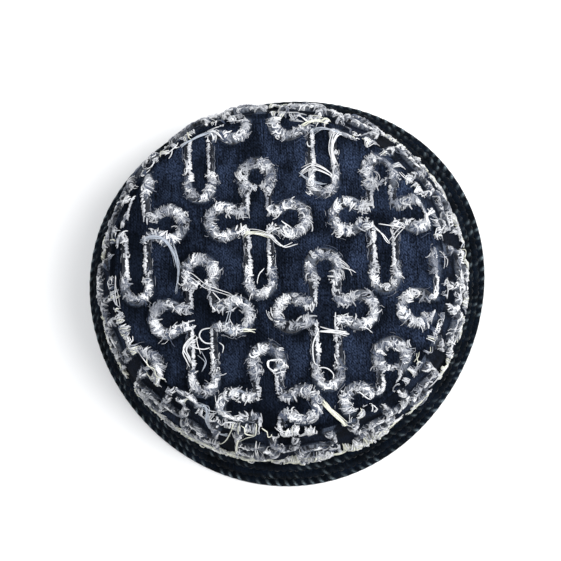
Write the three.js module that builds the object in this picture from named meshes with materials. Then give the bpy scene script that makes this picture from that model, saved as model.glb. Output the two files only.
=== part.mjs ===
// Denim beanie: a domed round tip and a tapered side, both cut from cloth that carries rows of
// round-ended crosses with frayed raw edges, over a stitched band that flares out to the rim.
// Millimetres, +Z up. The origin is the middle of the hat on the surface that it rests on.

import * as THREE from "three";

// Driving dimensions

const SEGMENTS = 72; // facets around the hat
const CLOTH = 1.6; // denim with its backing cloth
const GAP = 0.3; // between neighbouring pieces

// The plan of the soft hat at three heights: a circle of this radius, pulled long towards one side and
// out to three lobes by these shares of the radius. Angles are in degrees from +X towards +Y.
const RIM = { height: 0, radius: 99.4, pull: 0.016, towards: 21, lobes: 0.018, lobesTowards: 38 };
const HEM = { height: 36, radius: 88.2, pull: 0.012, towards: 0, lobes: 0, lobesTowards: 0 };
const SEAM = { height: 78.5, radius: 78, pull: 0.03, towards: -20, lobes: 0, lobesTowards: 0 };
const SHIFT = { x: 0.608, y: 1.586 }; // brings the middle of the uneven rim over the origin

const SIDE_BULGE = 1.2; // how far the side puffs out at half height
const TIP_RISE = 3.6; // middle of the tip above its rounded edge
const TIP_EDGE_DROP = 2.2; // how far that edge rolls down to the seam
const TIP_EDGE_SHARE = 0.1; // share of the radius that the roll takes
const TIP_RINGS = [0, 0.25, 0.45, 0.63, 0.79, 0.9, 0.96, 1]; // rings of facets, as shares of the radius
const SIDE_RINGS = 5; // rings of facets from the hem to the seam

// Soft dents, pressed into the side all the way up and into the tip as shallow bowls
const SIDE_DENTS = [
  { angle: -62, depth: 1.4, width: 16 },
  { angle: 18, depth: 1.8, width: 20 },
  { angle: 96, depth: 1.2, width: 14 },
  { angle: 158, depth: 1.6, width: 18 },
  { angle: 232, depth: 1.3, width: 15 },
];
const TIP_DENTS = [
  { x: -40, y: -34, depth: 1.3, width: 24 },
  { x: 34, y: 30, depth: 1.0, width: 26 },
  { x: 8, y: -52, depth: 0.9, width: 20 },
];

// The band: layers sewn together in rows, so that the cloth swells between the rows of stitches
const BAND_THICKNESS = 3;
const BAND_ROWS = 4;
const BAND_SWELL = 0.6; // crest above the slope
const BAND_GROOVE = 0.5; // stitches below the slope
const BAND_TUCK = 8; // how far the band runs up behind the side
const RIM_FLAT = 2.4; // width of the flat edge that rests on a surface

// The raw lower edge of the side hangs over the band in short locks of yarn of changing length
const HEM_LOCK = 2.2;
const HEM_LOCK_SPREAD = 1.1;
const HEM_LOCKS = 23;
const HEM_TUFTS = 9;

// The limbs of one cross, anticlockwise from its head. The middle line of the frayed border runs along
// a limb's long sides and round its end, and these are its distances from the middle of the cross to
// the end and from the limb's axis to the sides, the radius of the round end, and half the width of
// the border along the sides and round the end.
const HEAD = { turn: 0, end: 27.5, side: 5.7, round: 6.7, sideHalf: 1.4, endHalf: 3.3 };
const LEFT_ARM = { turn: 90, end: 23, side: 4.8, round: 7, sideHalf: 2.6, endHalf: 3 };
const STEM = { turn: 180, end: 35.1, side: 5.7, round: 5.1, sideHalf: 1.4, endHalf: 2.5 };
const RIGHT_ARM = { ...LEFT_ARM, turn: 270 };
const LIMBS = [HEAD, LEFT_ARM, STEM, RIGHT_ARM];
const END_STATIONS = 7; // facets round an end, and one more
const BORDER_HEIGHT = 2.6;
const BORDER_LIFT = 0.75; // foot above the smooth cloth, clear of the facets
const BORDER_LOCK = 0.16; // share by which every other lock stands higher and wider
const BORDER_TOP = 0.72; // width of the border's crest as a share of its foot
const BORDER_SHORTEST = 14; // a shorter stretch of border is cut away in the seam

// The crosses lie in rows like bricks, and the cloth is laid a little askew on the tip. Each row is
// given by the middle of its rightmost cross, and the others follow to its left.
const PITCH = 58.8;
const ROW_STEP = 44;
const TIP_TURN = 2.4;
const TIP_BORDER_REACH = 0.985; // share of the tip's radius that the borders keep to
const TIP_ROWS = [
  { x: 21, y: 72.5, crosses: 2 },
  { x: 50, y: 26.5, crosses: 3 },
  { x: 82, y: -17, crosses: 3 },
  { x: 55, y: -61.5, crosses: 3 },
];

// Round the side one row shows whole down to the arms, with the feet of the next row between
const SIDE_CROSSES = 9;
const SIDE_FIRST_ANGLE = -28;
const SIDE_ARMS_UP = 18; // arms above the hem, along the cloth
const SIDE_SEAM_MARGIN = 1.2;
const SIDE_HEM_MARGIN = 1.5;

const MATERIALS = {
  denim: new THREE.MeshStandardMaterial({ color: 0x242b39, roughness: 0.92, metalness: 0 }),
  band: new THREE.MeshStandardMaterial({ color: 0x1b212b, roughness: 0.94, metalness: 0 }),
  fringe: new THREE.MeshStandardMaterial({ color: 0x9a9fa8, roughness: 0.96, metalness: 0 }),
};

const degrees = THREE.MathUtils.degToRad;

// Shape of the hat

// Where a height lies between two levels, as a share from the lower to the upper.
function share(low, high, height) {
  return (height - low.height) / (high.height - low.height);
}

// How much further out than its mean radius the hat reaches at this height and angle.
function planFactor(height, angle) {
  const [low, high] = height < HEM.height ? [RIM, HEM] : [HEM, SEAM];
  const t = THREE.MathUtils.clamp(share(low, high, height), 0, 1);
  const lean = ({ pull, towards, lobes, lobesTowards }) =>
    pull * Math.cos(2 * (angle - degrees(towards))) + lobes * Math.cos(3 * (angle - degrees(lobesTowards)));
  return 1 + THREE.MathUtils.lerp(lean(low), lean(high), t);
}

// A bell-shaped fall from 1 at the middle to nearly 0 past the width.
function bell(distance, width) {
  return Math.exp(-2 * (distance / width) ** 2);
}

// The puff and the dents of the side at this height and angle.
function sideSwell(height, angle) {
  const t = THREE.MathUtils.clamp(share(HEM, SEAM, height), 0, 1);
  let swell = SIDE_BULGE;
  for (const dent of SIDE_DENTS) {
    const turn = THREE.MathUtils.euclideanModulo(angle - degrees(dent.angle) + Math.PI, 2 * Math.PI);
    swell -= dent.depth * bell(turn - Math.PI, degrees(dent.width));
  }
  return swell * Math.sin(Math.PI * t);
}

// Outer radius of the side on its mean circle, before the plan is pulled.
function sideRadius(height) {
  return THREE.MathUtils.lerp(HEM.radius, SEAM.radius, share(HEM, SEAM, height));
}

// Share of the way from the middle of the tip to its seam.
function tipReach(x, y) {
  return Math.hypot(x, y) / (SEAM.radius * planFactor(SEAM.height, Math.atan2(y, x)));
}

// Height of the tip's upper face over a point of the plan.
function tipTop(x, y) {
  const reach = tipReach(x, y);
  const roll = Math.max(0, reach - (1 - TIP_EDGE_SHARE)) / TIP_EDGE_SHARE;
  let height = SEAM.height + GAP / 2 + CLOTH;
  height += TIP_EDGE_DROP * (1 - roll ** 2) + TIP_RISE * (1 - reach ** 2);
  for (const dent of TIP_DENTS) {
    height -= dent.depth * bell(Math.hypot(x - dent.x, y - dent.y), dent.width);
  }
  return height;
}

// Turns a closed outline of [radius, height] points around +Z, then moves each point.
function turned(outline, move) {
  const points = outline.map(([radius, height]) => new THREE.Vector2(radius, height));
  const geometry = new THREE.LatheGeometry(points, SEGMENTS).rotateX(Math.PI / 2);
  const position = geometry.attributes.position;
  const point = new THREE.Vector3();
  for (let i = 0; i < position.count; i++) {
    move(point.fromBufferAttribute(position, i));
    position.setXYZ(i, point.x, point.y, point.z);
  }
  return geometry;
}

// Moves a point out from the axis by a factor and then by a distance.
function moveOut(point, factor, distance) {
  const radius = Math.hypot(point.x, point.y);
  const k = radius > 0 ? (radius * factor + distance) / radius : 1;
  point.x *= k;
  point.y *= k;
}

// This many values evenly from one to another, with both ends.
function spread(from, to, count) {
  return Array.from({ length: count }, (_, i) => THREE.MathUtils.lerp(from, to, i / (count - 1)));
}

// Crown and band

function crownTip() {
  const under = TIP_RINGS.map((reach) => [reach * SEAM.radius, 0]);
  const upper = TIP_RINGS.map((reach) => [reach * SEAM.radius, CLOTH]).reverse();
  return turned([...under, ...upper], (point) => {
    moveOut(point, planFactor(SEAM.height, Math.atan2(point.y, point.x)), 0);
    point.z += tipTop(point.x, point.y) - CLOTH;
  });
}

function crownSide() {
  const head = SEAM.height - GAP / 2;
  const heights = spread(HEM.height, head, SIDE_RINGS);
  const outer = heights.map((height) => [sideRadius(height), height]);
  const inner = heights.map((height) => [sideRadius(height) - CLOTH, height]).reverse();
  return turned([...outer, ...inner, outer[0]], (point) => {
    const angle = Math.atan2(point.y, point.x);
    const atHem = point.z < HEM.height + GAP;
    moveOut(point, planFactor(point.z, angle), sideSwell(point.z, angle));
    if (atHem) {
      const lock = hemLock(angle);
      point.z -= lock;
      moveOut(point, 1, lock * bandSlope());
    }
  });
}

// Length of the lock of yarn that hangs from the side's raw edge at this angle.
function hemLock(angle) {
  return HEM_LOCK + HEM_LOCK_SPREAD * Math.sin(HEM_LOCKS * angle) * Math.cos(HEM_TUFTS * angle);
}

// How far the band's outer face goes out for each millimetre down.
function bandSlope() {
  return (RIM.radius - bandTopRadius()) / (HEM.height - RIM.height);
}

function bandTopRadius() {
  return HEM.radius - CLOTH - GAP;
}

function rimBand() {
  const slope = Math.atan(bandSlope());
  const length = (HEM.height - RIM.height) / Math.cos(slope);
  // A point of the band's section, up along its slope from the rim and out from its face.
  const at = (up, out) => [
    RIM.radius - up * Math.sin(slope) + out * Math.cos(slope),
    RIM.height + up * Math.cos(slope) + out * Math.sin(slope),
  ];
  const row = length / BAND_ROWS;
  const outer = [];
  for (let i = 0; i < BAND_ROWS; i++) {
    const last = i === BAND_ROWS - 1;
    outer.push(at((i + 0.5) * row, last ? 0 : BAND_SWELL));
    outer.push(at((i + 1) * row, last ? 0 : -BAND_GROOVE));
  }
  const tuckHeight = HEM.height + BAND_TUCK;
  const tuckRadius = sideRadius(tuckHeight) - CLOTH - GAP;
  const inner = [
    [tuckRadius, tuckHeight],
    [tuckRadius - CLOTH, tuckHeight],
    at(length, -CLOTH - BAND_GROOVE),
    at(length / 2, -BAND_THICKNESS),
    at(row / 2, -BAND_THICKNESS),
  ];
  const edge = RIM.radius - BAND_SWELL;
  const foot = [
    [edge - RIM_FLAT, RIM.height],
    [edge, RIM.height],
  ];
  return turned([...foot, ...outer, ...inner, foot[0]], (point) => {
    moveOut(point, planFactor(point.z, Math.atan2(point.y, point.x)), 0);
  });
}

// Frayed borders of the crosses

// Stations of a cross's border, anticlockwise from the corner right of its head. Each limb gives the
// corner before it, a point on each long side and its round end.
function crossStations() {
  const stations = LIMBS.flatMap((limb, i) => {
    const before = LIMBS[(i + LIMBS.length - 1) % LIMBS.length];
    const middle = limb.end - limb.round;
    const start = -Math.acos(Math.min(1, limb.side / limb.round));
    const along = (before.side + middle + limb.round * Math.sin(start)) / 2;
    const round = spread(start, Math.PI - start, END_STATIONS).map((angle) => ({
      u: limb.round * Math.cos(angle),
      v: middle + limb.round * Math.sin(angle),
      half: limb.endHalf,
    }));
    const outline = [
      { u: limb.side, v: before.side, half: (limb.sideHalf + before.sideHalf) / 2 },
      { u: limb.side, v: along, half: limb.sideHalf },
      ...round,
      { u: -limb.side, v: along, half: limb.sideHalf },
    ];
    const cos = Math.cos(degrees(limb.turn));
    const sin = Math.sin(degrees(limb.turn));
    return outline.map(({ u, v, half }) => ({ u: u * cos - v * sin, v: u * sin + v * cos, half }));
  });
  return withNormals(stations);
}

// Gives each station of a closed line its outward direction, made longer at a corner so that the
// border keeps its width, and marks every other one as a raised lock.
function withNormals(stations) {
  const count = stations.length;
  return stations.map((station, i) => {
    const before = stations[(i + count - 1) % count];
    const after = stations[(i + 1) % count];
    const a = new THREE.Vector2(station.v - before.v, before.u - station.u).normalize();
    const b = new THREE.Vector2(after.v - station.v, station.u - after.u).normalize();
    const normal = a.clone().add(b).normalize();
    normal.divideScalar(normal.dot(a));
    const lock = i % 2 ? 1 - BORDER_LOCK : 1 + BORDER_LOCK;
    return { ...station, nu: normal.x, nv: normal.y, lock };
  });
}

// A station between two others.
function mix(a, b, t) {
  const blend = (key) => [key, THREE.MathUtils.lerp(a[key], b[key], t)];
  return Object.fromEntries(Object.keys(a).map(blend));
}

// The station between two others where the border leaves the cloth that it is on.
function edgeStation(kept, cut, inside) {
  let low = 0;
  let high = 1;
  for (let i = 0; i < 20; i++) {
    const t = (low + high) / 2;
    if (inside(mix(kept, cut, t))) low = t;
    else high = t;
  }
  return mix(kept, cut, low);
}

// The stretches of a closed border that lie inside a piece of cloth.
function stretches(stations, inside) {
  const count = stations.length;
  const start = stations.findIndex((station) => !inside(station));
  if (start < 0) return [{ stations, closed: true }];
  const found = [];
  let run = [];
  for (let i = 1; i <= count; i++) {
    const before = stations[(start + i - 1) % count];
    const here = stations[(start + i) % count];
    if (inside(here)) {
      if (!inside(before)) run.push(edgeStation(here, before, inside));
      run.push(here);
    } else if (run.length) {
      run.push(edgeStation(before, here, inside));
      found.push({ stations: run, closed: false });
      run = [];
    }
  }
  return found.filter((stretch) => lengthOf(stretch.stations) > BORDER_SHORTEST);
}

function lengthOf(stations) {
  let length = 0;
  for (let i = 1; i < stations.length; i++) {
    length += Math.hypot(stations[i].u - stations[i - 1].u, stations[i].v - stations[i - 1].v);
  }
  return length;
}

// Sweeps the border's section along its stations over a surface. place(u, v, lift) gives a point of
// the surface, lifted from it.
function border({ stations, closed }, place) {
  const corners = 4;
  const points = stations.flatMap(({ u, v, nu, nv, half, lock }) => {
    const foot = half;
    const crest = half * BORDER_TOP * lock;
    const height = BORDER_LIFT + BORDER_HEIGHT * lock;
    const section = [
      [-foot, BORDER_LIFT],
      [foot, BORDER_LIFT],
      [crest, height],
      [-crest, height],
    ];
    return section.map(([out, lift]) => place(u + nu * out, v + nv * out, lift));
  });
  const index = [];
  const count = stations.length;
  for (let i = 0; i < (closed ? count : count - 1); i++) {
    const next = ((i + 1) % count) * corners;
    for (let j = 0; j < corners; j++) {
      const k = (j + 1) % corners;
      const quad = [i * corners + j, next + j, next + k, i * corners + k];
      index.push(quad[0], quad[1], quad[2], quad[0], quad[2], quad[3]);
    }
  }
  if (!closed) {
    const end = (count - 1) * corners;
    index.push(0, 1, 2, 0, 2, 3);
    index.push(end, end + 2, end + 1, end, end + 3, end + 2);
  }
  return new THREE.BufferGeometry().setFromPoints(points).setIndex(index);
}

// Crosses of the tip, whose borders end short of the seam.
function tipBorders() {
  const turn = degrees(TIP_TURN);
  const found = [];
  for (const row of TIP_ROWS) {
    for (let i = 0; i < row.crosses; i++) {
      const flat = (u, v) => [
        row.x + (u - i * PITCH) * Math.cos(turn) - v * Math.sin(turn),
        row.y + (u - i * PITCH) * Math.sin(turn) + v * Math.cos(turn),
      ];
      const inside = ({ u, v }) => tipReach(...flat(u, v)) < TIP_BORDER_REACH;
      const place = (u, v, lift) => {
        const [x, y] = flat(u, v);
        const k = Math.min(1, TIP_BORDER_REACH / tipReach(x, y));
        return new THREE.Vector3(k * x, k * y, tipTop(k * x, k * y) + lift);
      };
      found.push(...stretches(crossStations(), inside).map((stretch) => border(stretch, place)));
    }
  }
  return found;
}

// Crosses round the side, with their arms this far up the cloth from the hem.
function sideBorders(firstAngle, armsUp) {
  const rise = SEAM.height - HEM.height;
  const slope = Math.atan((HEM.radius - SEAM.radius) / rise);
  const middleRadius = (HEM.radius + SEAM.radius) / 2;
  const found = [];
  for (let i = 0; i < SIDE_CROSSES; i++) {
    const middle = degrees(firstAngle + (360 * i) / SIDE_CROSSES);
    const heightAt = (v) => HEM.height + (armsUp + v) * Math.cos(slope);
    const inside = ({ v, half }) => {
      const height = heightAt(v);
      return height > HEM.height + SIDE_HEM_MARGIN && height < SEAM.height - SIDE_SEAM_MARGIN - half;
    };
    const place = (u, v, lift) => {
      const angle = middle + u / middleRadius;
      const height = heightAt(v);
      const radius = sideRadius(height) * planFactor(height, angle) + sideSwell(height, angle);
      const out = radius + lift * Math.cos(slope);
      const up = height + lift * Math.sin(slope);
      return new THREE.Vector3(out * Math.cos(angle), out * Math.sin(angle), up);
    };
    found.push(...stretches(crossStations(), inside).map((stretch) => border(stretch, place)));
  }
  return found;
}

// Assembly

const hat = new THREE.Group();

function add(name, geometry, material) {
  const mesh = new THREE.Mesh(geometry.translate(SHIFT.x, SHIFT.y, 0), material);
  mesh.name = name;
  hat.add(mesh);
}

function addNumbered(name, geometries) {
  geometries.forEach((geometry, i) => {
    add(`${name}_${String(i + 1).padStart(2, "0")}`, geometry, MATERIALS.fringe);
  });
}

add("crown_tip", crownTip(), MATERIALS.denim);
add("crown_side", crownSide(), MATERIALS.denim);
add("rim_band", rimBand(), MATERIALS.band);
addNumbered("tip_fringe", tipBorders());
addNumbered("side_fringe", sideBorders(SIDE_FIRST_ANGLE, SIDE_ARMS_UP));
const footAngle = SIDE_FIRST_ANGLE + 180 / SIDE_CROSSES;
addNumbered("side_foot_fringe", sideBorders(footAngle, SIDE_ARMS_UP + ROW_STEP));

export default hat;
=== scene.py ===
# %% [markdown]
# # A denim beanie with frayed crosses
#
# The hat is a domed round tip sewn to a tapered side, over a stitched band that flares out to the rim.
# Rows of round-ended crosses are cut into the denim, and their raw edges are brushed into white fluff.
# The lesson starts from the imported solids, which fix the place and size of every piece, and dresses
# each of them: first the cloth, then the band, then the yarn that frays out of the cut edges.

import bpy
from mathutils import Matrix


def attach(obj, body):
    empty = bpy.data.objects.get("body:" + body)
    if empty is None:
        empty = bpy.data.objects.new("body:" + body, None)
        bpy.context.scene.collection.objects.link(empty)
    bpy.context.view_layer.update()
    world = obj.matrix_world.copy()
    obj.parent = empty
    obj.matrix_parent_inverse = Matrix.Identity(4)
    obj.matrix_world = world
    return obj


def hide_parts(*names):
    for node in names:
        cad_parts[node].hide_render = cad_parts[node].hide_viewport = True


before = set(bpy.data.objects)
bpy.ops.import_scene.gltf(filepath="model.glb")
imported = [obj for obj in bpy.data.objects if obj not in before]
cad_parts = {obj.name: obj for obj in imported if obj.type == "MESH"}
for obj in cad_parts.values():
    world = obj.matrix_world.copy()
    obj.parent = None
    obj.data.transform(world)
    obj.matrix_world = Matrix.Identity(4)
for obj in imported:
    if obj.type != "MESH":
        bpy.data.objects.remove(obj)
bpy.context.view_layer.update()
print("solids in the packed model:", len(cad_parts))

# %% [markdown]
# ## Working with arrays
#
# A cloth surface with a point every millimetre could be sculpted by hand or pushed by modifiers.
# Here every point comes from a formula over numpy arrays, because the same formulas then also say
# where a strand of yarn touches the cloth. Sizes are in millimetres, as on a cutting table, and one
# helper turns them into Blender's metres at the end.

# %% Small tools for shapes
import math
from collections import namedtuple

import bpy
import numpy as np
from mathutils import Matrix, Vector

MM = 0.001
Bumps = namedtuple("Bumps", "height size seed")
WAVES, COARSEST, FINEST = 14, 0.7, 1.5  # waves in a pattern of bumps, and how fine they are
chance = np.random.default_rng(41)


def mix(a, b, t):
    return a + (b - a) * t


def ease(low, high, x):
    """0 below low, 1 above high, and a smooth rise between."""
    t = np.clip((x - low) / (high - low), 0, 1)
    return t * t * (3 - 2 * t)


def bell(distance, width):
    return np.exp(-2 * (distance / width) ** 2)


def bumpy(bumps, x, y):
    """Smooth chance bumps over a plane, each about as far across as their size."""
    picks = np.random.default_rng(bumps.seed)
    least, most = [0, 0, COARSEST], [2 * np.pi, 2 * np.pi, FINEST]
    total = np.zeros(np.broadcast(x, y).shape)
    for turn, phase, stretch in picks.uniform(least, most, (WAVES, 3)):
        total += np.sin((x * np.cos(turn) + y * np.sin(turn)) * stretch * np.pi / bumps.size + phase)
    return bumps.height * (total / math.sqrt(WAVES))


print("an ease, a quarter of the way along:", ease(0, 1, 0.25))

# %% A piece from arrays
SHIFT = np.array([0.608, 1.586, 0])  # brings the middle of the uneven rim over the origin


def mesh_piece(name, points, faces, material, nodes, maps, values):
    """A smooth piece on the hat, from points in millimetres and faces of four corners. maps holds a
    texture map for each name, one pair per corner, and values a number or colour for each point."""
    mesh = bpy.data.meshes.new(name)
    mesh.vertices.add(len(points))
    mesh.vertices.foreach_set("co", ((points + SHIFT) * MM).astype(np.float32).ravel())
    mesh.loops.add(faces.size)
    mesh.loops.foreach_set("vertex_index", faces.astype(np.int32).ravel())
    mesh.polygons.add(len(faces))
    mesh.polygons.foreach_set("loop_start", np.arange(0, faces.size, 4, dtype=np.int32))
    mesh.update(calc_edges=True)
    for key, corners in maps.items():
        mesh.uv_layers.new(name=key).uv.foreach_set("vector", corners.astype(np.float32).ravel())
    for key, array in values.items():
        kind, field = ("FLOAT_COLOR", "color") if array.ndim == 2 else ("FLOAT", "value")
        mesh.attributes.new(key, kind, "POINT").data.foreach_set(field, array.astype(np.float32).ravel())
    mesh.shade_smooth()
    mesh.materials.append(material)
    piece = bpy.data.objects.new(name, mesh)
    bpy.context.scene.collection.objects.link(piece)
    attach(piece, "root")
    if nodes:
        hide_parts(*nodes)
    print(name, "has", len(faces), "faces")
    return piece


# %% [markdown]
# ## The shape of the hat
#
# Soft hats are never quite round. Three levels, the rim, the hem and the seam, each give a circle that
# is pulled long towards one side, the rim also out to three lobes, and the cloth runs between them with
# a slight puff and a few dents. A lattice could bend a round hat like that, but these are the formulas
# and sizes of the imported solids, so each dressed piece lies on its solid.

# %% Levels and dents
Level = namedtuple("Level", "height radius pull towards lobes lobes_towards")
RIM = Level(0, 99.4, 0.016, 21, 0.018, 38)
HEM = Level(36, 88.2, 0.012, 0, 0, 0)
SEAM = Level(78.5, 78, 0.03, -20, 0, 0)
CLOTH = 1.6  # denim with its backing cloth
GAP = 0.3  # between neighbouring pieces

SIDE_BULGE = 1.2
SideDent = namedtuple("SideDent", "turn depth width")
SIDE_DENTS = [
    SideDent(-62, 1.4, 16), SideDent(18, 1.8, 20), SideDent(96, 1.2, 14), SideDent(158, 1.6, 18),
    SideDent(232, 1.3, 15),
]
TIP_RISE = 3.6
TIP_EDGE_DROP = 2.2
TIP_EDGE_SHARE = 0.1
TipDent = namedtuple("TipDent", "x y depth width")
TIP_DENTS = [TipDent(-40, -34, 1.3, 24), TipDent(34, 30, 1.0, 26), TipDent(8, -52, 0.9, 20)]
print("rim", 2 * RIM.radius, "hem", 2 * HEM.radius, "seam", 2 * SEAM.radius, "mm across")

# %% Smooth side and tip
def within_half_turn(angle):
    return (angle + np.pi) % (2 * np.pi) - np.pi


def plan_factor(height, angle):
    """How much further out than its mean radius the hat reaches at this height and angle."""

    def lean(level):
        oval = level.pull * np.cos(2 * (angle - np.radians(level.towards)))
        return oval + level.lobes * np.cos(3 * (angle - np.radians(level.lobes_towards)))

    below = mix(lean(RIM), lean(HEM), np.clip((height - RIM.height) / (HEM.height - RIM.height), 0, 1))
    above = mix(lean(HEM), lean(SEAM), np.clip((height - HEM.height) / (SEAM.height - HEM.height), 0, 1))
    return 1 + np.where(height < HEM.height, below, above)


def side_radius(height, angle):
    """Outer face of the smooth side."""
    t = (height - HEM.height) / (SEAM.height - HEM.height)
    swell = SIDE_BULGE
    for dent in SIDE_DENTS:
        turn = within_half_turn(angle - np.radians(dent.turn))
        swell = swell - dent.depth * bell(turn, np.radians(dent.width))
    mean = mix(HEM.radius, SEAM.radius, t)
    return mean * plan_factor(height, angle) + swell * np.sin(np.pi * np.clip(t, 0, 1))


def tip_reach(x, y):
    """Share of the way from the middle of the tip to its seam."""
    return np.hypot(x, y) / (SEAM.radius * plan_factor(SEAM.height, np.arctan2(y, x)))


def tip_height(x, y):
    """Upper face of the smooth tip."""
    reach = tip_reach(x, y)
    roll = np.maximum(0, reach - (1 - TIP_EDGE_SHARE)) / TIP_EDGE_SHARE
    height = SEAM.height + GAP / 2 + CLOTH + TIP_EDGE_DROP * (1 - roll**2) + TIP_RISE * (1 - reach**2)
    for dent in TIP_DENTS:
        height = height - dent.depth * bell(np.hypot(x - dent.x, y - dent.y), dent.width)
    return height


print("tip at its middle:", round(float(tip_height(0.0, 0.0)), 1), "mm up")

# %% [markdown]
# ## The crosses
#
# Each cross is a window cut through the upper denim: a long stem, a head and two arms, all with round
# ends. The edge of the cloth is rolled back along the straight limbs, and round the ends it is brushed
# into fluff. The windows could be cut out of a mesh, but their edges would then be hard. Instead one
# function gives the distance of any point from the middle of that frayed border, and how fluffy the
# border is there, so that the cloth can sink inside it and the yarn can stand on it.

# %% Distance from a cross
# For each limb: its turn, the distance of the border's middle line from the middle of the cross to the
# limb's end and from the limb's axis to its sides, the radius of its round end, half the width of the
# border along the sides and round the end, where the fluff begins and is full, as shares of the limb, how
# much of it there is at least, and how bright it is.
Limb = namedtuple("Limb", "turn end side round side_half end_half fluff_from fluff_full fluff_least glow")
HEAD = Limb(0, 27.5, 5.7, 6.7, 1.4, 3.3, 0.4, 0.66, 0.0, 0.75)
ARM = Limb(90, 23, 4.8, 7, 2.6, 3, 0.4, 0.7, 0.6, 1.0)
STEM = Limb(180, 35.1, 5.7, 5.1, 1.4, 2.5, 0.58, 0.82, 0.0, 0.9)
LIMBS = [HEAD, ARM, STEM, ARM._replace(turn=270)]


def border_kind(limb, along):
    """Half the border's width, and how fluffy it is, from 0 for a rolled edge with a row of stubs to 1."""
    grown = ease(limb.fluff_from, limb.fluff_full, along / limb.end)
    return mix(limb.side_half, limb.end_half, grown), mix(limb.fluff_least, 1.0, grown)


def limb_field(limb, u, v):
    """Distance out from the middle line of a limb's border in half-widths, and the border's fluff."""
    cos, sin = np.cos(np.radians(limb.turn)), np.sin(np.radians(limb.turn))
    across, along = u * cos + v * sin, v * cos - u * sin
    middle = limb.end - limb.round
    sides = np.hypot(along - np.clip(along, 0, middle), across) - limb.side
    half, fluff = border_kind(limb, along)
    return np.minimum(sides, np.hypot(along - middle, across) - limb.round) / half, fluff


def nearest(fields):
    """Distance and fluff of the nearest of several limbs or crosses."""
    distance, fluff = fields[0]
    for other, other_fluff in fields[1:]:
        fluff = np.where(other < distance, other_fluff, fluff)
        distance = np.minimum(distance, other)
    return distance, fluff


def cross_field(u, v):
    return nearest([limb_field(limb, u, v) for limb in LIMBS])


print("a cross is", HEAD.end + STEM.end, "mm long and", 2 * ARM.end, "mm wide")

# %% Where the crosses lie
PITCH, ROW_STEP = 58.8, 44
TIP_TURN = np.radians(2.4)
# The rows on the tip, from the back: the middle of the right-hand cross, and how many there are
TIP_ROWS = [(21, 72.5, 2), (50, 26.5, 3), (82, -17, 3), (55, -61.5, 3)]
SIDE_CROSSES, SIDE_FIRST_ANGLE = 9, -28
SIDE_ARMS_UP = 18  # above the hem, along the cloth
SIDE_SLOPE = math.atan((HEM.radius - SEAM.radius) / (SEAM.height - HEM.height))
SIDE_MIDDLE_RADIUS = (HEM.radius + SEAM.radius) / 2

tip_crosses = [
    (x - i * PITCH * np.cos(TIP_TURN), y - i * PITCH * np.sin(TIP_TURN))
    for x, y, crosses in TIP_ROWS
    for i in range(crosses)
]
side_angles = np.radians(SIDE_FIRST_ANGLE + 360 / SIDE_CROSSES * np.arange(SIDE_CROSSES))
side_crosses = [(angle, SIDE_ARMS_UP) for angle in side_angles]
foot_crosses = [(angle + np.pi / SIDE_CROSSES, SIDE_ARMS_UP + ROW_STEP) for angle in side_angles]


def tip_to_cross(x, y, cross):
    right, up = x - cross[0], y - cross[1]
    cos, sin = np.cos(TIP_TURN), np.sin(TIP_TURN)
    return right * cos + up * sin, up * cos - right * sin


def side_to_cross(height, angle, cross):
    up = (height - HEM.height) / np.cos(SIDE_SLOPE) - cross[1]
    return within_half_turn(angle - cross[0]) * SIDE_MIDDLE_RADIUS, up


print("crosses on the tip:", len(tip_crosses), "round the side:", len(side_crosses) + len(foot_crosses))

# %% Relief, dye and painted shade at a cross
# Distances are in half-widths of the border, out from its middle line.
WINDOW_DEPTH, WINDOW_EDGE = 0.4, (-0.8, -1.3)
ROLL_HEIGHT, MOUND_HEIGHT, MOUND_REACH, MOUND_BLUNT = 0.6, 0.8, 1.15, 0.7
# Where the cloth is darker: inside the windows by darker dye with painted shade, and beside the raised edges
# by painted shade
DYED_AND_SHADED_INSIDE, SHADE_BESIDE = (-0.7, -1.4), (2.6, 1.0)
BRUSHED, ROLL_PALE, FLUFF_PALE = (1.05, 0.5), 0.1, 0.4


def cloth_relief(distance, fluff):
    """Windows sunk inside the crosses, and their edges rolled or brushed up into a low mound."""
    bulge = np.clip(1 - (distance / MOUND_REACH) ** 2, 0, 1) ** MOUND_BLUNT
    return bulge * mix(ROLL_HEIGHT, MOUND_HEIGHT, fluff) - WINDOW_DEPTH * ease(*WINDOW_EDGE, distance)


def cloth_marks(distance, fluff):
    """Where the cloth is darker, by darker dye with painted shade in the windows and by painted shade beside
    the raised edges, and where it is brushed pale."""
    dye_and_shade = np.maximum(ease(*DYED_AND_SHADED_INSIDE, distance), ease(*SHADE_BESIDE, distance))
    return dye_and_shade, ease(*BRUSHED, np.abs(distance)) * (ROLL_PALE + FLUFF_PALE * fluff)


print("mound under full fluff:", float(cloth_relief(0.0, 1.0)), "mm")

# %% Finished tip and side
# Near the seam and the hem the relief dies out, over a share of the tip and over heights from each edge.
TIP_SHOWN, HEM_SHOWN, SEAM_SHOWN = (1.0, 0.95), (-1, 2), (-0.4, -3)
TIP_PUFF, TIP_CREASES, SIDE_PUFF = Bumps(0.35, 19, 5), Bumps(0.16, 6, 6), Bumps(0.3, 14, 8)
SIDE_ROUND = 83  # radius on which the side's bumps are laid out
# The seam gathers the tip's edge into small folds, draws it down in a groove and pulls both edges in.
GATHERS, GATHER_HEIGHT, GATHER_FROM, GATHER_WANDER = 61, 0.28, (0.9, 0.98), Bumps(2.2, 30, 7)
GROOVE_AT, GROOVE_WIDTH, GROOVE_DEPTH = 0.982, 0.022, 0.6
TUCK, TUCK_FROM = 1.3, 2.6
# The tip is coloured paler towards the back right and darker towards the front left. These are the shares
# of darkening at a cross, by darker dye with painted shade, towards the front left, by painted shade in the
# groove and by painted shade over the whole side.
PALER_TOWARDS = np.radians(45)
BORDER_DYE_AND_SHADE, FRONT_LEFT_DARKENING, GROOVE_SHADE, SIDE_SHADE = 0.8, 0.75, 1.2, 1.2


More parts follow.
